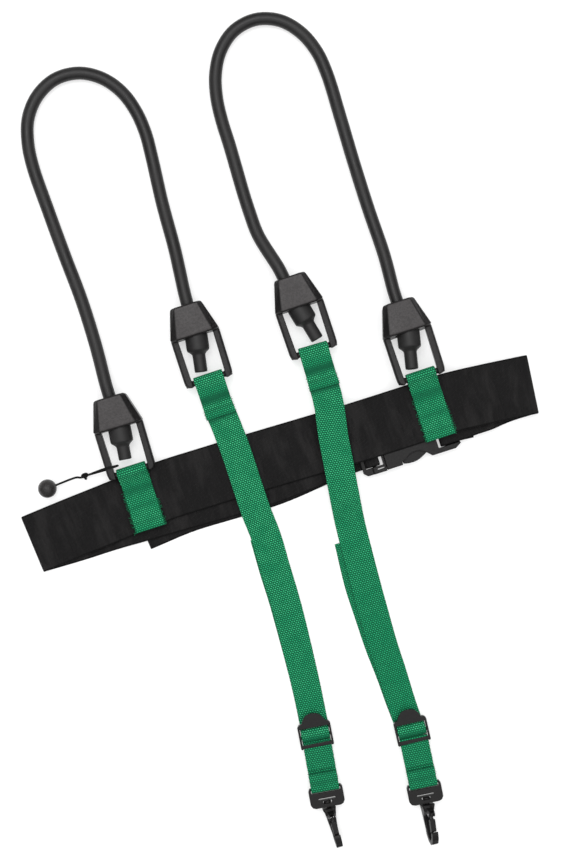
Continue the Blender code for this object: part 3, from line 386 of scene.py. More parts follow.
def webbing_material(name, base, deep, bright, px, py, fleck, rough, sheen, contrast=1.0, depth=0.00035, rare=0.3, crease=0.0008, cloud=0.0):
    mat, tree, bsdf = new_material(name, rough, 0.2, sheen, base)
    attr = tree.nodes.new("ShaderNodeAttribute")
    attr.attribute_name = "web"
    painted_shade = tree.nodes.new("ShaderNodeAttribute")
    painted_shade.attribute_name = "painted_shade"
    sep = tree.nodes.new("ShaderNodeSeparateXYZ")
    tree.links.new(attr.outputs["Vector"], sep.inputs[0])
    x, y, zone = sep.outputs
    rowf = calc(tree, "DIVIDE", y, py)
    row = calc(tree, "FLOOR", rowf)
    odd = calc(tree, "MULTIPLY", calc(tree, "PINGPONG", row, 1.0), 0.5)
    colf = calc(tree, "ADD", calc(tree, "DIVIDE", x, px), odd)
    col = calc(tree, "FLOOR", colf)
    fx = calc(tree, "SUBTRACT", calc(tree, "FRACT", colf), 0.5)
    fy = calc(tree, "SUBTRACT", calc(tree, "FRACT", rowf), 0.5)
    dx = calc(tree, "DIVIDE", fx, 0.46)
    dy = calc(tree, "DIVIDE", fy, 0.40)
    d = calc(tree, "SQRT", calc(tree, "ADD", calc(tree, "MULTIPLY", dx, dx), calc(tree, "MULTIPLY", dy, dy)))
    pip = spread(tree, d, 1.05, 0.25)
    cell = tree.nodes.new("ShaderNodeCombineXYZ")
    tree.links.new(col, cell.inputs[0])
    tree.links.new(row, cell.inputs[1])
    white = tree.nodes.new("ShaderNodeTexWhiteNoise")
    white.noise_dimensions = "2D"
    tree.links.new(cell.outputs[0], white.inputs["Vector"])
    pick = spread(tree, white.outputs["Value"], rare, rare + 0.45)
    patch = spread(tree, noise_tex(tree, attr.outputs["Vector"], 0.09, 2.0), 0.30, 0.62)
    yarn = noise_tex(tree, attr.outputs["Vector"], 2.2, 2.0)
    body = mix(tree, calc(tree, "MULTIPLY", pip, contrast), deep, base)
    body = mix(tree, calc(tree, "MULTIPLY", spread(tree, yarn, 0.35, 0.7), 0.35), body, deep)
    ex = calc(tree, "DIVIDE", fx, 0.40)
    ey = calc(tree, "DIVIDE", fy, 0.27)
    e = calc(tree, "SQRT", calc(tree, "ADD", calc(tree, "MULTIPLY", ex, ex), calc(tree, "MULTIPLY", ey, ey)))
    centre = spread(tree, e, 1.0, 0.45)
    # fleck brightness follows the per-vertex fleck strength, which callers raise on loop tops as a painted highlight
    # and lower at the crossbar webbing's low end as painted shade
    lit = calc(tree, "MULTIPLY", calc(tree, "MULTIPLY", centre, pick), calc(tree, "MULTIPLY", calc(tree, "MULTIPLY_ADD", patch, 0.55, 0.45), calc(tree, "MULTIPLY", zone, fleck)))
    body = mix(tree, lit, body, bright)
    # painted shade: the per-vertex shade value, set by each caller, darkens the webbing towards its deep colour
    body = mix(tree, painted_shade.outputs["Fac"], body, deep)
    tree.links.new(body, bsdf.inputs["Base Color"])
    tree.links.new(spread(tree, pip, 0.0, 1.0, min(rough + 0.1, 1.0), rough - 0.06), bsdf.inputs["Roughness"])
    height = calc(tree, "ADD", calc(tree, "MULTIPLY", pip, 0.8), calc(tree, "MULTIPLY", yarn, 0.3))
    stretch = tree.nodes.new("ShaderNodeVectorMath")
    stretch.operation = "MULTIPLY"
    stretch.inputs[1].default_value = (0.022, 0.075, 0.0)
    tree.links.new(attr.outputs["Vector"], stretch.inputs[0])
    creases = noise_tex(tree, stretch.outputs[0], 1.0, 3.0, 0.6)
    if cloud:
        body = mix(tree, calc(tree, "MULTIPLY", spread(tree, creases, 0.42, 0.68), cloud), body, bright)
        # painted shade: a near-black line along both selvages of the belt webbing stands in for the shadow gap under
        # the front layer's edge
        selvage_painted_shade = spread(tree, calc(tree, "ABSOLUTE", x), 23.7, 24.8)
        body = mix(tree, calc(tree, "MULTIPLY", selvage_painted_shade, 0.92), body, (0.0006, 0.0006, 0.0006))
        tree.links.new(body, bsdf.inputs["Base Color"])
    under = bump(tree, None, creases, crease, 0.8)
    bump(tree, bsdf, height, depth, 0.8, under)
    return mat


def plastic_material(name, dark, light, rough, grain=0.00016, coat=0.0, face=True, spec=0.25):
    mat, tree, bsdf = new_material(name, rough, spec, coat=coat)
    bsdf.inputs["Coat Roughness"].default_value = 0.3
    where = place_coords(tree)
    broad = noise_tex(tree, where, 60.0, 3.0)
    fine = noise_tex(tree, where, 1500.0, 2.0)
    factor = calc(tree, "MULTIPLY", calc(tree, "ADD", spread(tree, broad, 0.35, 0.7), spread(tree, fine, 0.4, 0.65)), 0.5)
    colour = mix(tree, factor, dark, tuple(min(c * 2.0, 1.0) for c in dark))
    # painted highlight: the 'face' vertex weight lightens the clips' flat front plate to the light colour
    if face:
        attr = tree.nodes.new("ShaderNodeAttribute")
        attr.attribute_name = "face"
        colour = mix(tree, attr.outputs["Fac"], colour, light)
    speck = noise_tex(tree, where, 620.0, 2.0, 0.6)
    colour = mix(tree, calc(tree, "MULTIPLY", spread(tree, speck, 0.38, 0.64), 0.30), colour, dark)
    # painted highlight: convex edges, found from pointiness, are mixed towards the lighter colour
    geo = tree.nodes.new("ShaderNodeNewGeometry")
    edge_painted_highlight = calc(tree, "MULTIPLY", spread(tree, geo.outputs["Pointiness"], 0.505, 0.56), 0.4)
    colour = mix(tree, edge_painted_highlight, colour, light)
    tree.links.new(colour, bsdf.inputs["Base Color"])
    tree.links.new(spread(tree, broad, 0.3, 0.75, rough - 0.06, rough + 0.08), bsdf.inputs["Roughness"])
    bump(tree, bsdf, fine, grain, 0.7, bump(tree, None, speck, grain * 1.6, 0.7))
    return mat


def rubber_material(name, base, dust, rough, pit=0.00012):
    mat, tree, bsdf = new_material(name, rough, 0.25, 0.05, (0.8, 0.8, 0.8))
    where = place_coords(tree)
    broad = noise_tex(tree, where, 38.0, 4.0)
    fine = noise_tex(tree, where, 1500.0, 3.0)
    colour = mix(tree, calc(tree, "MULTIPLY", spread(tree, broad, 0.35, 0.72), 0.5), base, dust)
    speck = spread(tree, noise_tex(tree, where, 620.0, 2.0), 0.66, 0.78)
    colour = mix(tree, calc(tree, "MULTIPLY", speck, 0.3), colour, tuple(c * 1.8 for c in dust))
    tree.links.new(colour, bsdf.inputs["Base Color"])
    tree.links.new(spread(tree, broad, 0.3, 0.75, rough - 0.05, rough + 0.1), bsdf.inputs["Roughness"])
    under = bump(tree, None, broad, 0.0002, 0.3)
    bump(tree, bsdf, fine, pit, 0.7, under)
    return mat


GREEN = webbing_material("green_web", (0.003, 0.405, 0.158), (0.0004, 0.084, 0.036), (0.11, 0.80, 0.36), 2.15, 1.7, 0.72, 0.74, 0.0, 1.0, 0.0008, -0.25)
GREEN_THREAD = webbing_material("green_thread", (0.012, 0.29, 0.12), (0.003, 0.13, 0.055), (0.10, 0.5, 0.2), 0.8, 0.8, 0.4, 0.7, 0.1, 0.6, 0.0001)
BLACK = webbing_material("belt_web", (0.0150, 0.0142, 0.0145), (0.0045, 0.0043, 0.0045), (0.036, 0.034, 0.034), 1.25, 0.95, 0.5, 0.86, 0.02, 0.9, 0.0003, 0.5, 0.009, 0.25)
BLACK_THREAD = webbing_material("belt_thread", (0.02, 0.019, 0.02), (0.006, 0.006, 0.006), (0.03, 0.03, 0.03), 0.7, 0.7, 0.3, 0.8, 0.05, 0.6, 0.0001)
CLIP = plastic_material("clip_black", (0.0052, 0.0046, 0.0048), (0.046, 0.042, 0.0425), 0.38, spec=0.20)
SMALL = plastic_material("fitting_black", (0.0045, 0.0041, 0.0042), (0.026, 0.024, 0.0245), 0.34, spec=0.16)
RUBBER = rubber_material("tube_black", (0.010, 0.0096, 0.0098), (0.024, 0.0232, 0.0232), 0.40)
BULB = rubber_material("tube_end_black", (0.012, 0.0116, 0.0118), (0.022, 0.0215, 0.0215), 0.5)
BALL = rubber_material("ball_black", (0.012, 0.0108, 0.011), (0.085, 0.078, 0.079), 0.28, 0.0004)
CORD = webbing_material("cord_black", (0.016, 0.015, 0.015), (0.004, 0.004, 0.004), (0.04, 0.038, 0.038), 0.9, 0.7, 0.5, 0.75, 0.1, 0.9, 0.00015)
STEEL, steel_tree, steel_bsdf = new_material("pin_steel", 0.32, 0.5, metallic=1.0)
steel_noise = noise_tex(steel_tree, place_coords(steel_tree), 900.0, 2.0)
steel_tree.links.new(mix(steel_tree, steel_noise, (0.45, 0.45, 0.46), (0.62, 0.62, 0.63)), steel_bsdf.inputs["Base Color"])


# ---------------------------------------------------------------- camera, light and floor
camera_data = bpy.data.cameras.new("camera")
camera = bpy.data.objects.new("camera", camera_data)
bpy.context.scene.collection.objects.link(camera)
camera.location = (0.00448, 0.11285, 1.45)
camera_data.sensor_fit = "VERTICAL"
camera_data.sensor_height = 36.0
camera_data.lens = 36.0 * 1.442 / (855 * PLAN_SCALE)
camera_data.clip_end = 20.0
bpy.context.scene.camera = camera

floor_mesh = bpy.data.meshes.new("floor")
floor_mesh.from_pydata([(-6, -6, -0.0003), (6, -6, -0.0003), (6, 6, -0.0003), (-6, 6, -0.0003)], [], [(0, 1, 2, 3)])
floor = bpy.data.objects.new("floor", floor_mesh)
bpy.context.scene.collection.objects.link(floor)
FLOOR, _, floor_bsdf = new_material("floor_pale", 0.9, 0.1)
floor_bsdf.inputs["Base Color"].default_value = (0.5, 0.5, 0.5, 1)
floor_bsdf.inputs["Emission Color"].default_value = (1.0, 1.0, 1.0, 1)
floor_bsdf.inputs["Emission Strength"].default_value = 0.52
floor_mesh.materials.append(FLOOR)

world = bpy.data.worlds.new("studio")
bpy.context.scene.world = world
world.use_nodes = True
world_tree = world.node_tree
sky = world_tree.nodes["Background"]
sky.inputs["Color"].default_value = (1.0, 1.0, 1.0, 1)
sky_sep = world_tree.nodes.new("ShaderNodeSeparateXYZ")
world_tree.links.new(world_tree.nodes.new("ShaderNodeTexCoord").outputs["Generated"], sky_sep.inputs[0])
sky_range = world_tree.nodes.new("ShaderNodeMapRange")
sky_range.interpolation_type = "SMOOTHSTEP"
world_tree.links.new(sky_sep.outputs[2], sky_range.inputs["Value"])
for key, val in (("From Min", 0.40), ("From Max", 0.97), ("To Min", 0.16), ("To Max", 2.0)):
    sky_range.inputs[key].default_value = val
world_tree.links.new(sky_range.outputs["Result"], sky.inputs["Strength"])


def area_light(name, place, size, energy, target=(0.0, 0.11, 0.0)):
    data = bpy.data.lights.new(name, "AREA")
    data.shape = "SQUARE"
    data.size = size
    data.energy = energy
    obj = bpy.data.objects.new(name, data)
    bpy.context.scene.collection.objects.link(obj)
    obj.location = place
    obj.rotation_euler = (Vector(target) - Vector(place)).to_track_quat("-Z", "Y").to_euler()


area_light("key", (-0.25, 0.75, 2.2), 0.8, 13.0)
area_light("fill", (1.3, -0.4, 2.2), 1.6, 4.0)
bpy.context.scene.view_settings.view_transform = "Standard"


# ---------------------------------------------------------------- layout shared with the model
FRONT = [(34, 544), (75, 527), (115.7, 510.7), (160.4, 492), (206, 477.4), (253.4, 463), (302, 448.6), (351, 434),
         (400, 418.5), (448, 403), (493, 392.5), (528.7, 385)]
BACK = [(34, 544), (75, 532.0), (111.3, 520.3), (135.3, 513.5), (184, 499.6), (233.3, 485.7), (276, 472), (319.3, 454.5), (338, 447), (346.4, 444.4)]
TAIL = [(138.8, 522.3), (184, 503.5), (233.3, 488.5), (276, 474.5), (319.3, 455.5), (338, 447.3), (351.2, 442.9), (364.9, 438.4)]
RETURN = [(481.3, 401.7), (496, 395.5), (510, 390.5), (528.7, 385)]
FRONT_Z = [(34, 4.2), (60, 5.2), (328, 5.2), (359, 12.5), (480, 12.5), (516, 8.2), (530, 7.4)]
BACK_Z = [(34, 1.2), (60, 0.9), (98, 0.9), (122, 3.0), (372, 3.0)]
BUCKLE = frame_at(plan(418.5, 421.5, 5.5), 17.5)

SIDES = {
    "left": dict(belt_bar=(132.3, 470.6), belt_bar_z=12.5, belt_tilt=16.8, belt_pitch=0.0, belt_bulb=-6.0,
                 strap_bar=(209.2, 379.0), strap_tilt=17.6, tube_tilt=14.6, strap_bulb=-6.5,
                 tab_top=9.1, tab_low=7.2, tab_end=(151.0, 528.8)),
    "right": dict(belt_bar=(420.2, 376.0), belt_bar_z=17.8, belt_tilt=17.6, belt_pitch=4.5, belt_bulb=-12.0,
                  strap_bar=(313.7, 350.3), strap_tilt=18.6, tube_tilt=27.0, strap_bulb=4.0,
                  tab_top=16.5, tab_low=14.6, tab_end=(440.6, 437.6)),
}
TUBES = {
    "left": [(95.9, 346), (81.3, 300), (64.4, 255.5), (47.9, 210.4), (32.1, 165), (27.4, 141.5), (27.8, 117.5), (37.1, 95.2),
             (54.6, 78.7), (78, 72.5), (101.6, 77.6), (121.4, 91.4), (135.7, 110.8), (145.3, 132.8), (151.4, 156), (162.1, 202.8),
             (174.7, 249.2)],
    "right": [(384.1, 255), (368.8, 209.5), (354.4, 163.8), (340.7, 117.7), (326.6, 71.9), (316.3, 50.1), (300.8, 31.8),
              (279.7, 19.8), (255.6, 18.8), (234.1, 29.9), (220.6, 49.9), (215.4, 73.4), (216.6, 97.4), (221.9, 120.8),
              (229.1, 143.7), (235.8, 166.7), (242.4, 189.8), (249.7, 212.7), (258, 235)],
}
STRAPS = {
    "left": dict(route=[(218.2, 406.0), (224.0, 420), (235.5, 450), (245.5, 480), (255.5, 510), (267, 540), (275.7, 570),
                        (284.7, 600), (292.6, 630), (300, 660), (307, 690), (315.4, 731)],
                 over=7.3, cross=(52, 112), floor=138,
                 tail=[(264.6, 537), (274, 570), (283.4, 600), (291.6, 630), (299.4, 660), (306.6, 690), (313.5, 723)],
                 slider=(315.7, 736.0), slider_tilt=11.0, hook_tilt=10.6, base=(326.4, 795.0)),
    "right": dict(route=[(322.5, 380.3), (328.8, 405), (333, 435), (338.6, 465), (344.2, 495), (350.6, 525), (358.2, 555), (366, 585),
                         (374.3, 615), (383, 645), (393, 675), (402.4, 705), (411.5, 731)],
                  over=13.7, cross=(62, 118), floor=158,
                  tail=[(349.4, 541.5), (359.8, 585), (369.6, 615), (379.4, 645), (390.8, 675), (401.4, 705), (408.6, 723)],
                  slider=(412.2, 732.0), slider_tilt=13.0, hook_tilt=11.4, base=(424.8, 791.5)),
}


def strap_width(v):
    return STRAP_W - 1.4 * smooth_step(v, 600, 715)


# ---------------------------------------------------------------- tubes, their ends and the toggle's cord
def cord_curve(name, points, radius, mat, body, replaced, resolution=8):
    data = bpy.data.curves.new(name, "CURVE")
    data.dimensions = "3D"
    data.bevel_depth = radius * 0.001
    data.bevel_resolution = resolution
    data.use_fill_caps = True
    line = data.splines.new("POLY")
    line.points.add(len(points) - 1)
    for point, co in zip(line.points, points):
        point.co = (*co, 1.0)
    line.use_smooth = True
    data.materials.append(mat)
    obj = bpy.data.objects.new(name, data)
    bpy.context.scene.collection.objects.link(obj)
    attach(obj, body)
    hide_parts(*replaced)
    return obj


for side_name, spec in SIDES.items():
    bar = plan(*spec["belt_bar"], spec["belt_bar_z"])
    belt_frame = frame_at(bar, spec["belt_tilt"], spec["belt_pitch"])
    sbar = plan(*spec["strap_bar"], HEAD_HALF_T)
    strap_frame = frame_at(sbar, spec["strap_tilt"])
    middle = Matrix.Translation((0, 0.034, 0))
    end_frame = strap_frame @ middle @ Matrix.Rotation(math.radians(spec["tube_tilt"] - spec["strap_tilt"]), 4, "Z") @ middle.inverted()
    a = TUBES[side_name]
    start = [belt_frame @ Vector((0, y * 0.001, 0)) for y in (50.2, 58, 66, 76)]
    finish = [end_frame @ Vector((0, y * 0.001, 0)) for y in (76, 66, 58, 50.2)]
    mid = []
    for i, (u, v) in enumerate(a):
        near = min(i, len(a) - 1 - i)
        mid.append(plan(u, v, TUBE_R + 0.1 + (2.6 if near == 0 else 0.5 if near == 1 else 0.0)))
    line = spline_through(start + mid + finish, 150)
    tube = cord_curve(side_name + "_rubber_tube", line, TUBE_R, RUBBER, side_name + "_tube", [side_name + "_tube"], 10)
    length = sum((q - p).length for p, q in zip(line, line[1:]))
    for where, base, tilt, tail_y in (("belt", belt_frame, spec["belt_bulb"], 10.4 if side_name == "left" else 6.9), ("strap", end_frame, spec["strap_bulb"], 7.0)):
        lean = base @ Matrix.Translation((0, 0.034, 0)) @ Matrix.Rotation(math.radians(tilt), 4, "Z")
        low = tail_y - 34
        turned = [(0, low + 1.1), (3.0, low + 1.1), (3.4, low + 0.2), (TUBE_R - 1.3, low - 0.0), (TUBE_R - 0.35, low + 0.15), (TUBE_R, low + 1.0), (TUBE_R, low + 4), (TUBE_R, -12.6), (TUBE_R + 0.3, -11.8),
                  (6.9, -10.4), (8.4, -9.3), (BULB_R - 0.35, -8.3), (BULB_R, -7.0), (BULB_R, -3), (BULB_R, 2), (BULB_R - 0.1, 5.0), (9.3, 7.6), (8.2, 10.2), (6.9, 12.4), (6.0, 14.0), (TUBE_R, 15.2), (0, 15.2)]
        bm = bmesh.new()
        lathe_mesh(bm, rounded(turned), 48, lean)
        make(f"{side_name}_{where}_bulb", bm, side_name + "_tube", BULB, [f"{side_name}_{where}_tube_end"], 60)

clip_frame = frame_at(plan(*SIDES["left"]["belt_bar"], 12.5), 16.8)
knot = plan(84.3, 476.2, 3.4)
ball = plan(47.4, 488.6, BALL_R)
towards = (plan(70, 479.8, 0) - plan(57, 485, 0)).normalized()
ring = [clip_frame @ Vector(((-16.9 + 6.8 * math.cos(math.radians(q))) * 0.001, (7.6 + 0.004 * q) * 0.001, 6.8 * math.sin(math.radians(q)) * 0.001))
        for q in (140, 100, 60, 20, -20, -60, -100, -140)]
into = (clip_frame @ Vector((-0.0225, 0.0076, 0)) - knot).normalized()
cord_line = ([knot + into * 0.0036 + Z * 0.0012] + ring + [knot + into * 0.0036 - Z * 0.0012, knot]
             + [knot - towards * 0.0036, plan(76, 477.6, 1.5), plan(70, 479.4, 1.15), plan(62.5, 482.4, 4.2), ball + towards * (BALL_R - 1.5) * 0.001])
cord_line = spline_through(cord_line, 90)
toggle_line = cord_curve("toggle_line", cord_line, CORD_R, CORD, "toggle", ["toggle_cord", "toggle_noose"], 5)

bm = bmesh.new()
# an overhand knot: a trefoil tube
knot_pts = []
for k in range(64):
    t = 2 * math.pi * k / 64
    knot_pts.append(Vector((math.sin(t) + 2 * math.sin(2 * t), math.cos(t) - 2 * math.cos(2 * t), -math.sin(3 * t) * 1.1)) * 0.00088)
turn = into.to_track_quat("X", "Z").to_matrix()
rings_k = []
for k, p in enumerate(knot_pts):
    tan = (knot_pts[(k + 1) % 64] - knot_pts[k - 1]).normalized()
    n1 = tan.cross(Vector((0.3, 0.2, 1))).normalized()
    n2 = tan.cross(n1)
    rings_k.append([bm.verts.new(knot + turn @ (p + (n1 * math.cos(2 * math.pi * q / 12) + n2 * math.sin(2 * math.pi * q / 12)) * 0.0009)) for q in range(12)])
for k in range(64):
    p, q = rings_k[k], rings_k[(k + 1) % 64]
    for i in range(12):
        j = (i + 1) % 12
        bm.faces.new((p[i], p[j], q[j], q[i]))
knot_piece = make("toggle_overhand", bm, "toggle", CORD, ["toggle_knot"], None)
bm = bmesh.new()
ball_axis = Matrix.Translation(ball) @ towards.to_track_quat("Y", "Z").to_matrix().to_4x4()
arc = [(BALL_R * math.cos(math.radians(q)), BALL_R * math.sin(math.radians(q))) for q in range(-78, 79, 6)]
turned = [(0, -BALL_R + 1.4), (1.1, -BALL_R + 1.2), (1.5, -BALL_R + 0.25)] + arc + [(1.5, BALL_R - 0.25), (1.1, BALL_R - 1.2), (0, BALL_R - 1.4)]
lathe_mesh(bm, turned, 56, ball_axis)
ball_piece = make("toggle_bead", bm, "toggle", BALL, ["toggle_ball"], 50)


# ---------------------------------------------------------------- waist belt
def belt_run(route, heights, count):
    out = []
    for p in spline_through([plan(u, v) for u, v in route], count):
        out.append(Vector((p.x, p.y, profile(p.x / PLAN_SCALE + PLAN_CENTRE[0], heights) * 0.001)))
    return out


def u_turn(a, b, outward, count=9):
    b = Vector((a.x, a.y, b.z))
    mid, r = (a + b) / 2, (a - b) / 2
    return [mid + r * math.cos(math.pi * k / (count + 1)) + outward * r.length * math.sin(math.pi * k / (count + 1)) for k in range(1, count + 1)]


def on_buckle(pairs):
    return [BUCKLE @ Vector((x * 0.001, (y[0] if y else 0) * 0.001, z * 0.001)) for x, z, *y in pairs]


front, back = belt_run(FRONT, FRONT_Z, 34), belt_run(BACK, BACK_Z, 20)
ret = belt_run(RETURN, [(481, 6.4), (502, 0.9), (530, 0.9)], 6)
left_out = (front[0] - front[1]).normalized()
left_out.z = 0
right_out = (front[-1] - front[-2]).normalized()
right_out.z = 0
buckle_side = -(BUCKLE.to_3x3() @ Vector((0, 1, 0)))
sewn = on_buckle([(43, -2.9, -1.8), (31, -2.9, -1.0), (16.8, -2.9, -0.9), (14.0, -2.3, -1.0), (12.6, 0, -1.0), (14.0, 2.3, -1.0), (16.8, 2.9, -0.9), (32, 2.9, -0.6), (45, 2.2, -0.1)])
wrap = on_buckle([(-62.8, -2.5), (-57.8, -2.5), (-55.0, -2.4), (-53.0, -1.2), (-51.0, 1.2), (-49.2, 2.7), (-45.6, 2.8), (-43.7, 2.1), (-42.9, 1.0)])
route = sewn + ret + u_turn(ret[-1], front[-1], right_out) + front[::-1] + u_turn(front[0], back[0], left_out) + back
side = [buckle_side] * len(sewn) + flat_sides(ret) + [right_out.cross(Z).normalized()] * 9 + flat_sides(front)[::-1] + [-left_out.cross(Z).normalized()] * 9 + flat_sides(back)
side += [buckle_side] * len(wrap)
route += wrap
belt, length, stations = web("belt_webbing", "waist_belt", route, side, [BELT_W] * len(route), BELT_T, BLACK, ["belt_band"], 1.2, 26, edge=0.06, seed=3)
tail = belt_run(TAIL, [(138, 0.9), (379, 0.9)], 16) + on_buckle([(-45.4, -4.5), (-43.4, -3.7), (-42.7, -2.4), (-42.7, -1.3)])
tail_sides = flat_sides(tail[:-4]) + [buckle_side] * 4
belt_tail, length, tail_stations = web("belt_tail_webbing", "waist_belt", tail, tail_sides, [BELT_W] * len(tail), BELT_T, BLACK, ["belt_adjusting_tail"], 1.2, 26, edge=0.06, seed=9)
stitch_rows("belt_tail_stitching", "waist_belt", tail_stations, [3.0, 5.2], BELT_T, BLACK_THREAD, 1, 3.0, 2.2, 0.26)


# ---------------------------------------------------------------- webbing tabs, straps and loops
def loop_section(bar_z, top_z, low_z, end_top, merge=13.0):
    pts = [(end_top, top_z(end_top))]
    for k in range(1, 5):
        s = end_top + (merge - end_top) * k / 4
        pts.append((s, top_z(s)))
    for deg in (62, 90, 120, 150, 180, 210, 240, 270, 298):
        q = math.radians(deg)
        pts.append((LOOP_R * math.cos(q), bar_z + LOOP_R * math.sin(q)))
    pts.append((merge, low_z(merge)))
    return pts


def place_section(pts, bar, tilt_deg):
    down = Matrix.Rotation(math.radians(tilt_deg), 3, "Z") @ Vector((0, -1, 0))
    return [Vector((bar.x, bar.y, 0)) + down * (s * 0.001) + Z * (z * 0.001) for s, z in pts]


for side_name, spec in SIDES.items():
    s = STRAPS[side_name]
    left = side_name == "left"
    bar = plan(*spec["belt_bar"], spec["belt_bar_z"])
    end = plan(*spec["tab_end"])
    away = end - Vector((bar.x, bar.y, 0))
    reach = away.length * 1000
    heading = math.degrees(math.atan2(away.x, -away.y))
    pts = loop_section(spec["belt_bar_z"], lambda t: spec["tab_top"], lambda t: spec["tab_low"], reach)
    pts = pts[:5] + [(9.5, spec["tab_top"] + (1.4 if left else 0.6))] + pts[5:] + [(reach - 1.5, spec["tab_low"])]
    tab = place_section(pts, bar, heading)
    across = Matrix.Rotation(math.radians(heading), 3, "Z") @ Vector((-1, 0, 0))
    bar_at = reach - 1.0

    # fleck strength along the tab: stronger over the top of the loop round the bar, a painted highlight, and over two
    # spans along the tab
    def tab_zone(v, reach=reach):
        t = reach - v
        return 0.25 + 0.75 * max(bump_at(t, 3, 12), 0.8 * bump_at(v, 12, 16), 0.55 * bump_at(v, 28, 10))

    # painted shade: darkens the tab in the dip below the bar, where it turns onto the bar, in bands across the sewn
    # part and at its cut end
    def tab_painted_shade(v, reach=reach):
        t = reach - v
        return 0.6 * bump_at(t, 16, 6.5) + 0.35 * bump_at(t, 1.5, 3) + 0.35 * bump_at(v, 21, 3) + 0.3 * bump_at(v, 7.5, 2.5) + 0.4 * bump_at(v, 0.8, 1.6)

    def tab_wave(v, reach=reach):
        t = reach - v
        if t < 0:
            return 0.0
        return -1.1 * bump_at(t, 17.5, 6.5) + 0.35 * bump_at(v, 24, 5) - 0.4 * bump_at(v, 13.5, 5) + 0.3 * bump_at(v, 4, 4)

    piece, length, st = web(side_name + "_tab_webbing", "waist_belt", tab, [across] * len(tab), [STRAP_W] * len(tab), STRAP_T, GREEN,
                            [side_name + "_belt_tab"], 0.5, 26, tab_zone, tab_painted_shade, tab_wave, edge=0.6, seed=11 if left else 17)
    stitch_rows(side_name + "_tab_stitching", "waist_belt", st, [2.6, 4.8, 19.5, 21.6], STRAP_T, GREEN_THREAD, 1, 2.6, 2.0, 0.26)
    # across is -x here, so hand -1 is the right edge
    fray(side_name + "_tab_fray", "waist_belt", st, [(0, 36, 1), (0, 24, -1)], STRAP_T, GREEN_THREAD, 5 if left else 6, 1.3, 2.4 if left else 2.0, 0.22)

    # long strap
    sbar = plan(*spec["strap_bar"], HEAD_HALF_T)
    first = plan(*s["route"][0])
    heading = math.degrees(math.atan2(first.x - sbar.x, -(first.y - sbar.y)))

    def run_z(t, s=s):
        c0, c1 = s["cross"]
        return profile(t, [(10, 11.7), (c0 - 6, s["over"]), (c1, s["over"]), (s["floor"], 2.55), (999, 2.55)])

    pts = loop_section(HEAD_HALF_T, lambda t: run_z(t) + STRAP_T + 0.25, run_z, 33.0)
    head = place_section(pts, sbar, heading)
    down = Matrix.Rotation(math.radians(heading), 3, "Z") @ Vector((0, -1, 0))
    plan_pts = [Vector((sbar.x, sbar.y, 0)) + down * 0.013] + [plan(u, v) for u, v in s["route"]]
    run, walked, last = [], 13.0, plan_pts[0]
    for p in spline_through(plan_pts, 34)[1:]:
        walked += (p - last).length * 1000
        last = p
        run.append(Vector((p.x, p.y, run_z(walked) * 0.001)))
    across = Matrix.Rotation(math.radians(heading), 3, "Z") @ Vector((-1, 0, 0))
    line = head + run
    sides = [across] * len(head) + [-d for d in flat_sides([head[-1]] + run)[1:]]
    widths = [STRAP_W + 0.9, STRAP_W + 0.5] + [STRAP_W] * (len(head) - 2) + [strap_width(PLAN_CENTRE[1] - p.y / PLAN_SCALE) for p in run]

    # fleck strength: on the sewn end and loop (v < 34) stronger over the overlap's bump and where the loop rises onto
    # the bar, a painted highlight; along the strap it fades from 150 to 330 mm
    def strap_zone(v, left=left):
        if v < 34:
            return 0.35 + 0.65 * max(bump_at(v, 10, 8), bump_at(v, 31, 8))
        return (0.95 if left else 0.8) - (0.35 if left else 0.45) * smooth_step(v, 150, 330)

    # painted shade: darkens the strap in the dip behind the bar, in a band between the stitch rows, at its sewn end's
    # step and in a band about 80 mm along
    def strap_painted_shade(v):
        # v runs from the sewn end over the top layer to the bar, and back under it down the strap
        return 0.95 * bump_at(v, 16.5, 6.5) + 0.4 * bump_at(v, 7.2, 2.2) + 0.5 * bump_at(v, 0.6, 1.8) + 0.8 * bump_at(v, 80.5, 4.0)

    def strap_wave(v):
        return 0.5 * bump_at(v, 4.5, 5.0) - 0.55 * bump_at(v, 16.0, 6.5) + 0.25 * bump_at(v, 10.5, 3.0)

    piece, length, st = web(side_name + "_strap_webbing", side_name + "_long_strap", line, sides, widths, STRAP_T, GREEN,
                            [side_name + "_long_strap"], 0.8, 22, strap_zone, strap_painted_shade, strap_wave, edge=0.16, seed=23 if left else 29)
    stitch_rows(side_name + "_strap_stitching", side_name + "_long_strap", st, [2.4, 4.6, 8.5, 15.0], STRAP_T, GREEN_THREAD, 1, 2.6, 2.0, 0.26)
    fray(side_name + "_strap_fray", side_name + "_long_strap", st, [(0, 12, 1), (0, 12, -1)], STRAP_T, GREEN_THREAD, 15 if left else 16, 0.9, 1.2, 0.18)

    # strap's free tail under it
    slide_frame = frame_at(plan(*s["slider"], 0), s["slider_tilt"])
    tail_pts = spline_through([plan(u, v, STRAP_T / 2) for u, v in s["tail"]], 18)
    # painted shade: the tail, lying under the strap, is darkened evenly
    piece, length, st = web(side_name + "_tail_webbing", side_name + "_slider", tail_pts, flat_sides(tail_pts), [strap_width(PLAN_CENTRE[1] - p.y / PLAN_SCALE) for p in tail_pts],
                            STRAP_T, GREEN, [side_name + "_strap_tail"], 0.9, 22, lambda v: 0.6, lambda v: 0.25, edge=0.1, seed=31 if left else 37)

    # webbing over the slider's crossbar
    x_axis = slide_frame.to_3x3() @ Vector((1, 0, 0))
    arch = [(-4.05, 4.9), (-3.3, 6.7), (-1.5, 7.9), (1.6, 7.9), (4.9, 7.0), (6.6, 5.2)]
    over = [slide_frame @ Vector((0, y * 0.001, z * 0.001)) for y, z in arch]
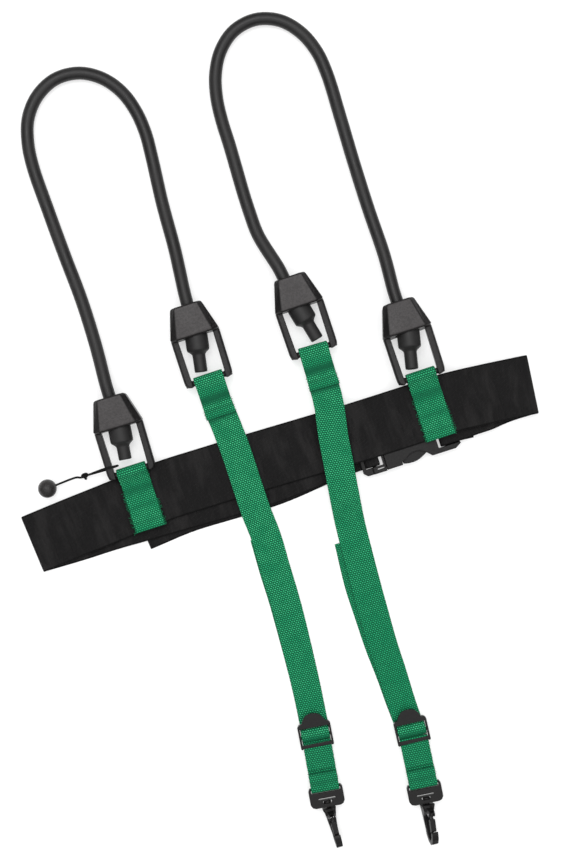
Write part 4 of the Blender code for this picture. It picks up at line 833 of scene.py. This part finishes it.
    # painted shade: the webbing over the crossbar is darkened towards its low end and at its upper end, and its flecks
    # fade towards the low end
    piece, length, st = web(side_name + "_crossbar_webbing", side_name + "_slider", over, [x_axis] * 6, [SLIDER_IN - 0.6] * 6, 1.2, GREEN,
                            [side_name + "_slider_wrap"], 0.5, 22, lambda v: 0.25 + 0.75 * smooth_step(v, 4, 8), lambda v: 0.9 * (1 - smooth_step(v, 1.5, 8.5)) + 0.5 * smooth_step(v, 12.2, 13.4), edge=0.05, seed=41)

    # hook strap
    base_frame = frame_at(plan(*s["base"], 7.0), s["hook_tilt"])
    low_bar = slide_frame @ Vector((0, -0.0072, 0.0060))
    base_bar = base_frame @ Vector((0, 0.0066, 0))
    d = base_bar - low_bar
    d.z = 0
    span, dirn = d.length * 1000, d.normalized()
    r = 2.95
    arcs = [(span - 13, 9.3), (span - 7, 9.8)]
    arcs += [(span + r * math.cos(math.radians(q)), 7.0 + r * math.sin(math.radians(q))) for q in (110, 75, 40, 0, -40, -75, -105)]
    arcs += [(span - 6, 5.0), (span - 14, 6.2), (10, 5.0), (4.5, 4.2)]
    arcs += [(2.3 * math.cos(math.radians(q)), 6.0 + 1.9 * math.sin(math.radians(q))) for q in (-75, -120, -150, -180, -210, -240, -282)]
    arcs += [(4.5, 7.9), (9, 8.5), (span - 16.5, 8.6)]
    strap = [Vector((low_bar.x, low_bar.y, 0)) + dirn * (t * 0.001) + Z * (z * 0.001) for t, z in arcs]
    sx = Z.cross(dirn)
    # painted shade: the hook strap is darkened a little all over, and more at its sewn end and about 8 mm along it
    piece, length, st = web(side_name + "_hook_webbing", side_name + "_slider", strap, [sx] * len(strap), [24.2] * len(strap), 1.2, GREEN,
                            [side_name + "_hook_strap"], 0.6, 22, lambda v: 0.45, lambda v: 0.12 + 0.55 * bump_at(v, 0, 2.2) + 0.35 * bump_at(v, 8, 3), lambda v: 0.3 * bump_at(v, 4, 4), edge=0.35, seed=47 if left else 53)
    stitch_rows(side_name + "_hook_stitching", side_name + "_slider", st, [2.6, 5.4], 1.2, GREEN_THREAD, 1, 2.6, 2.0, 0.24)
    fray(side_name + "_hook_fray", side_name + "_slider", st, [(0, 8, 1), (0, 8, -1)], 1.2, GREEN_THREAD, 25 if left else 26, 0.8, 1.0, 0.16)


# ---------------------------------------------------------------- moulded pieces: the model's shapes with soft edges
def moulded(node, body, voxel, passes, mat, plate_highlight_frame=None):
    mesh = NODES[node].data.copy()
    obj = bpy.data.objects.new(node + "_moulding", mesh)
    bpy.context.scene.collection.objects.link(obj)
    mesh.materials.clear()
    mod = obj.modifiers.new("voxel", "REMESH")
    mod.mode = "VOXEL"
    mod.voxel_size = voxel * 0.001
    mod = obj.modifiers.new("ease", "SMOOTH")
    mod.factor = 0.5
    mod.iterations = passes
    bpy.context.view_layer.update()
    done = bpy.data.meshes.new_from_object(obj.evaluated_get(bpy.context.evaluated_depsgraph_get()))
    obj.modifiers.clear()
    obj.data = done
    done.shade_smooth()
    done.materials.clear()
    done.materials.append(mat)
    # painted highlight: the flat faces of the clip's front plate get a 'face' vertex weight, which the material uses to
    # lighten them
    if plate_highlight_frame is not None:
        back_to = plate_highlight_frame.inverted()
        co = np.zeros(len(done.vertices) * 3, np.float32)
        done.vertices.foreach_get("co", co)
        co = co.reshape(-1, 3)
        m = np.array(back_to)
        local = (co @ m[:3, :3].T + m[:3, 3]) * 1000
        x, y, z = local[:, 0], local[:, 1], local[:, 2]
        t = np.clip((y - 39.5) / (64.1 - 39.5), 0, 1)
        half = 15.3 + (10.0 - 15.3) * t
        on = np.clip((half - np.abs(x)) / 0.8, 0, 1) * np.clip((y - 38.6) / 0.8, 0, 1) * np.clip((64.6 - y) / 0.8, 0, 1) * np.clip((np.abs(z) - 11.9) / 0.4, 0, 1)
        attr = done.attributes.new("face", "FLOAT", "POINT")
        attr.data.foreach_set("value", (on * 0.9).astype(np.float32))
    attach(obj, body)
    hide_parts(node)
    return obj


for side_name, spec in SIDES.items():
    bar = plan(*spec["belt_bar"], spec["belt_bar_z"])
    belt_frame = frame_at(bar, spec["belt_tilt"], spec["belt_pitch"])
    strap_frame = frame_at(plan(*spec["strap_bar"], HEAD_HALF_T), spec["strap_tilt"])
    moulded(side_name + "_belt_clip", side_name + "_belt_clip", 0.4, 9, CLIP, plate_highlight_frame=belt_frame)
    moulded(side_name + "_strap_clip", side_name + "_strap_clip", 0.4, 9, CLIP, plate_highlight_frame=strap_frame)
    moulded(side_name + "_slider", side_name + "_slider", 0.28, 4, SMALL)
    moulded(side_name + "_hook_base", side_name + "_hook_base", 0.28, 5, SMALL)
    moulded(side_name + "_snap_hook", side_name + "_snap_hook", 0.28, 5, SMALL)
    moulded(side_name + "_hook_gate", side_name + "_hook_gate", 0.2, 3, SMALL)
for node, body in (("buckle_female", "waist_belt"), ("buckle_male", "waist_belt"), ("buckle_arm_lower", "buckle_arm_lower"), ("buckle_arm_upper", "buckle_arm_upper")):
    moulded(node, body, 0.4, 4, SMALL)

for name, obj in NODES.items():
    if name.endswith("_gate_pin"):
        obj.data.materials.clear()
        obj.data.materials.append(STEEL)
    elif name.endswith("_tube_plug"):
        obj.data.materials.clear()
        obj.data.materials.append(SMALL)

bpy.context.view_layer.update()
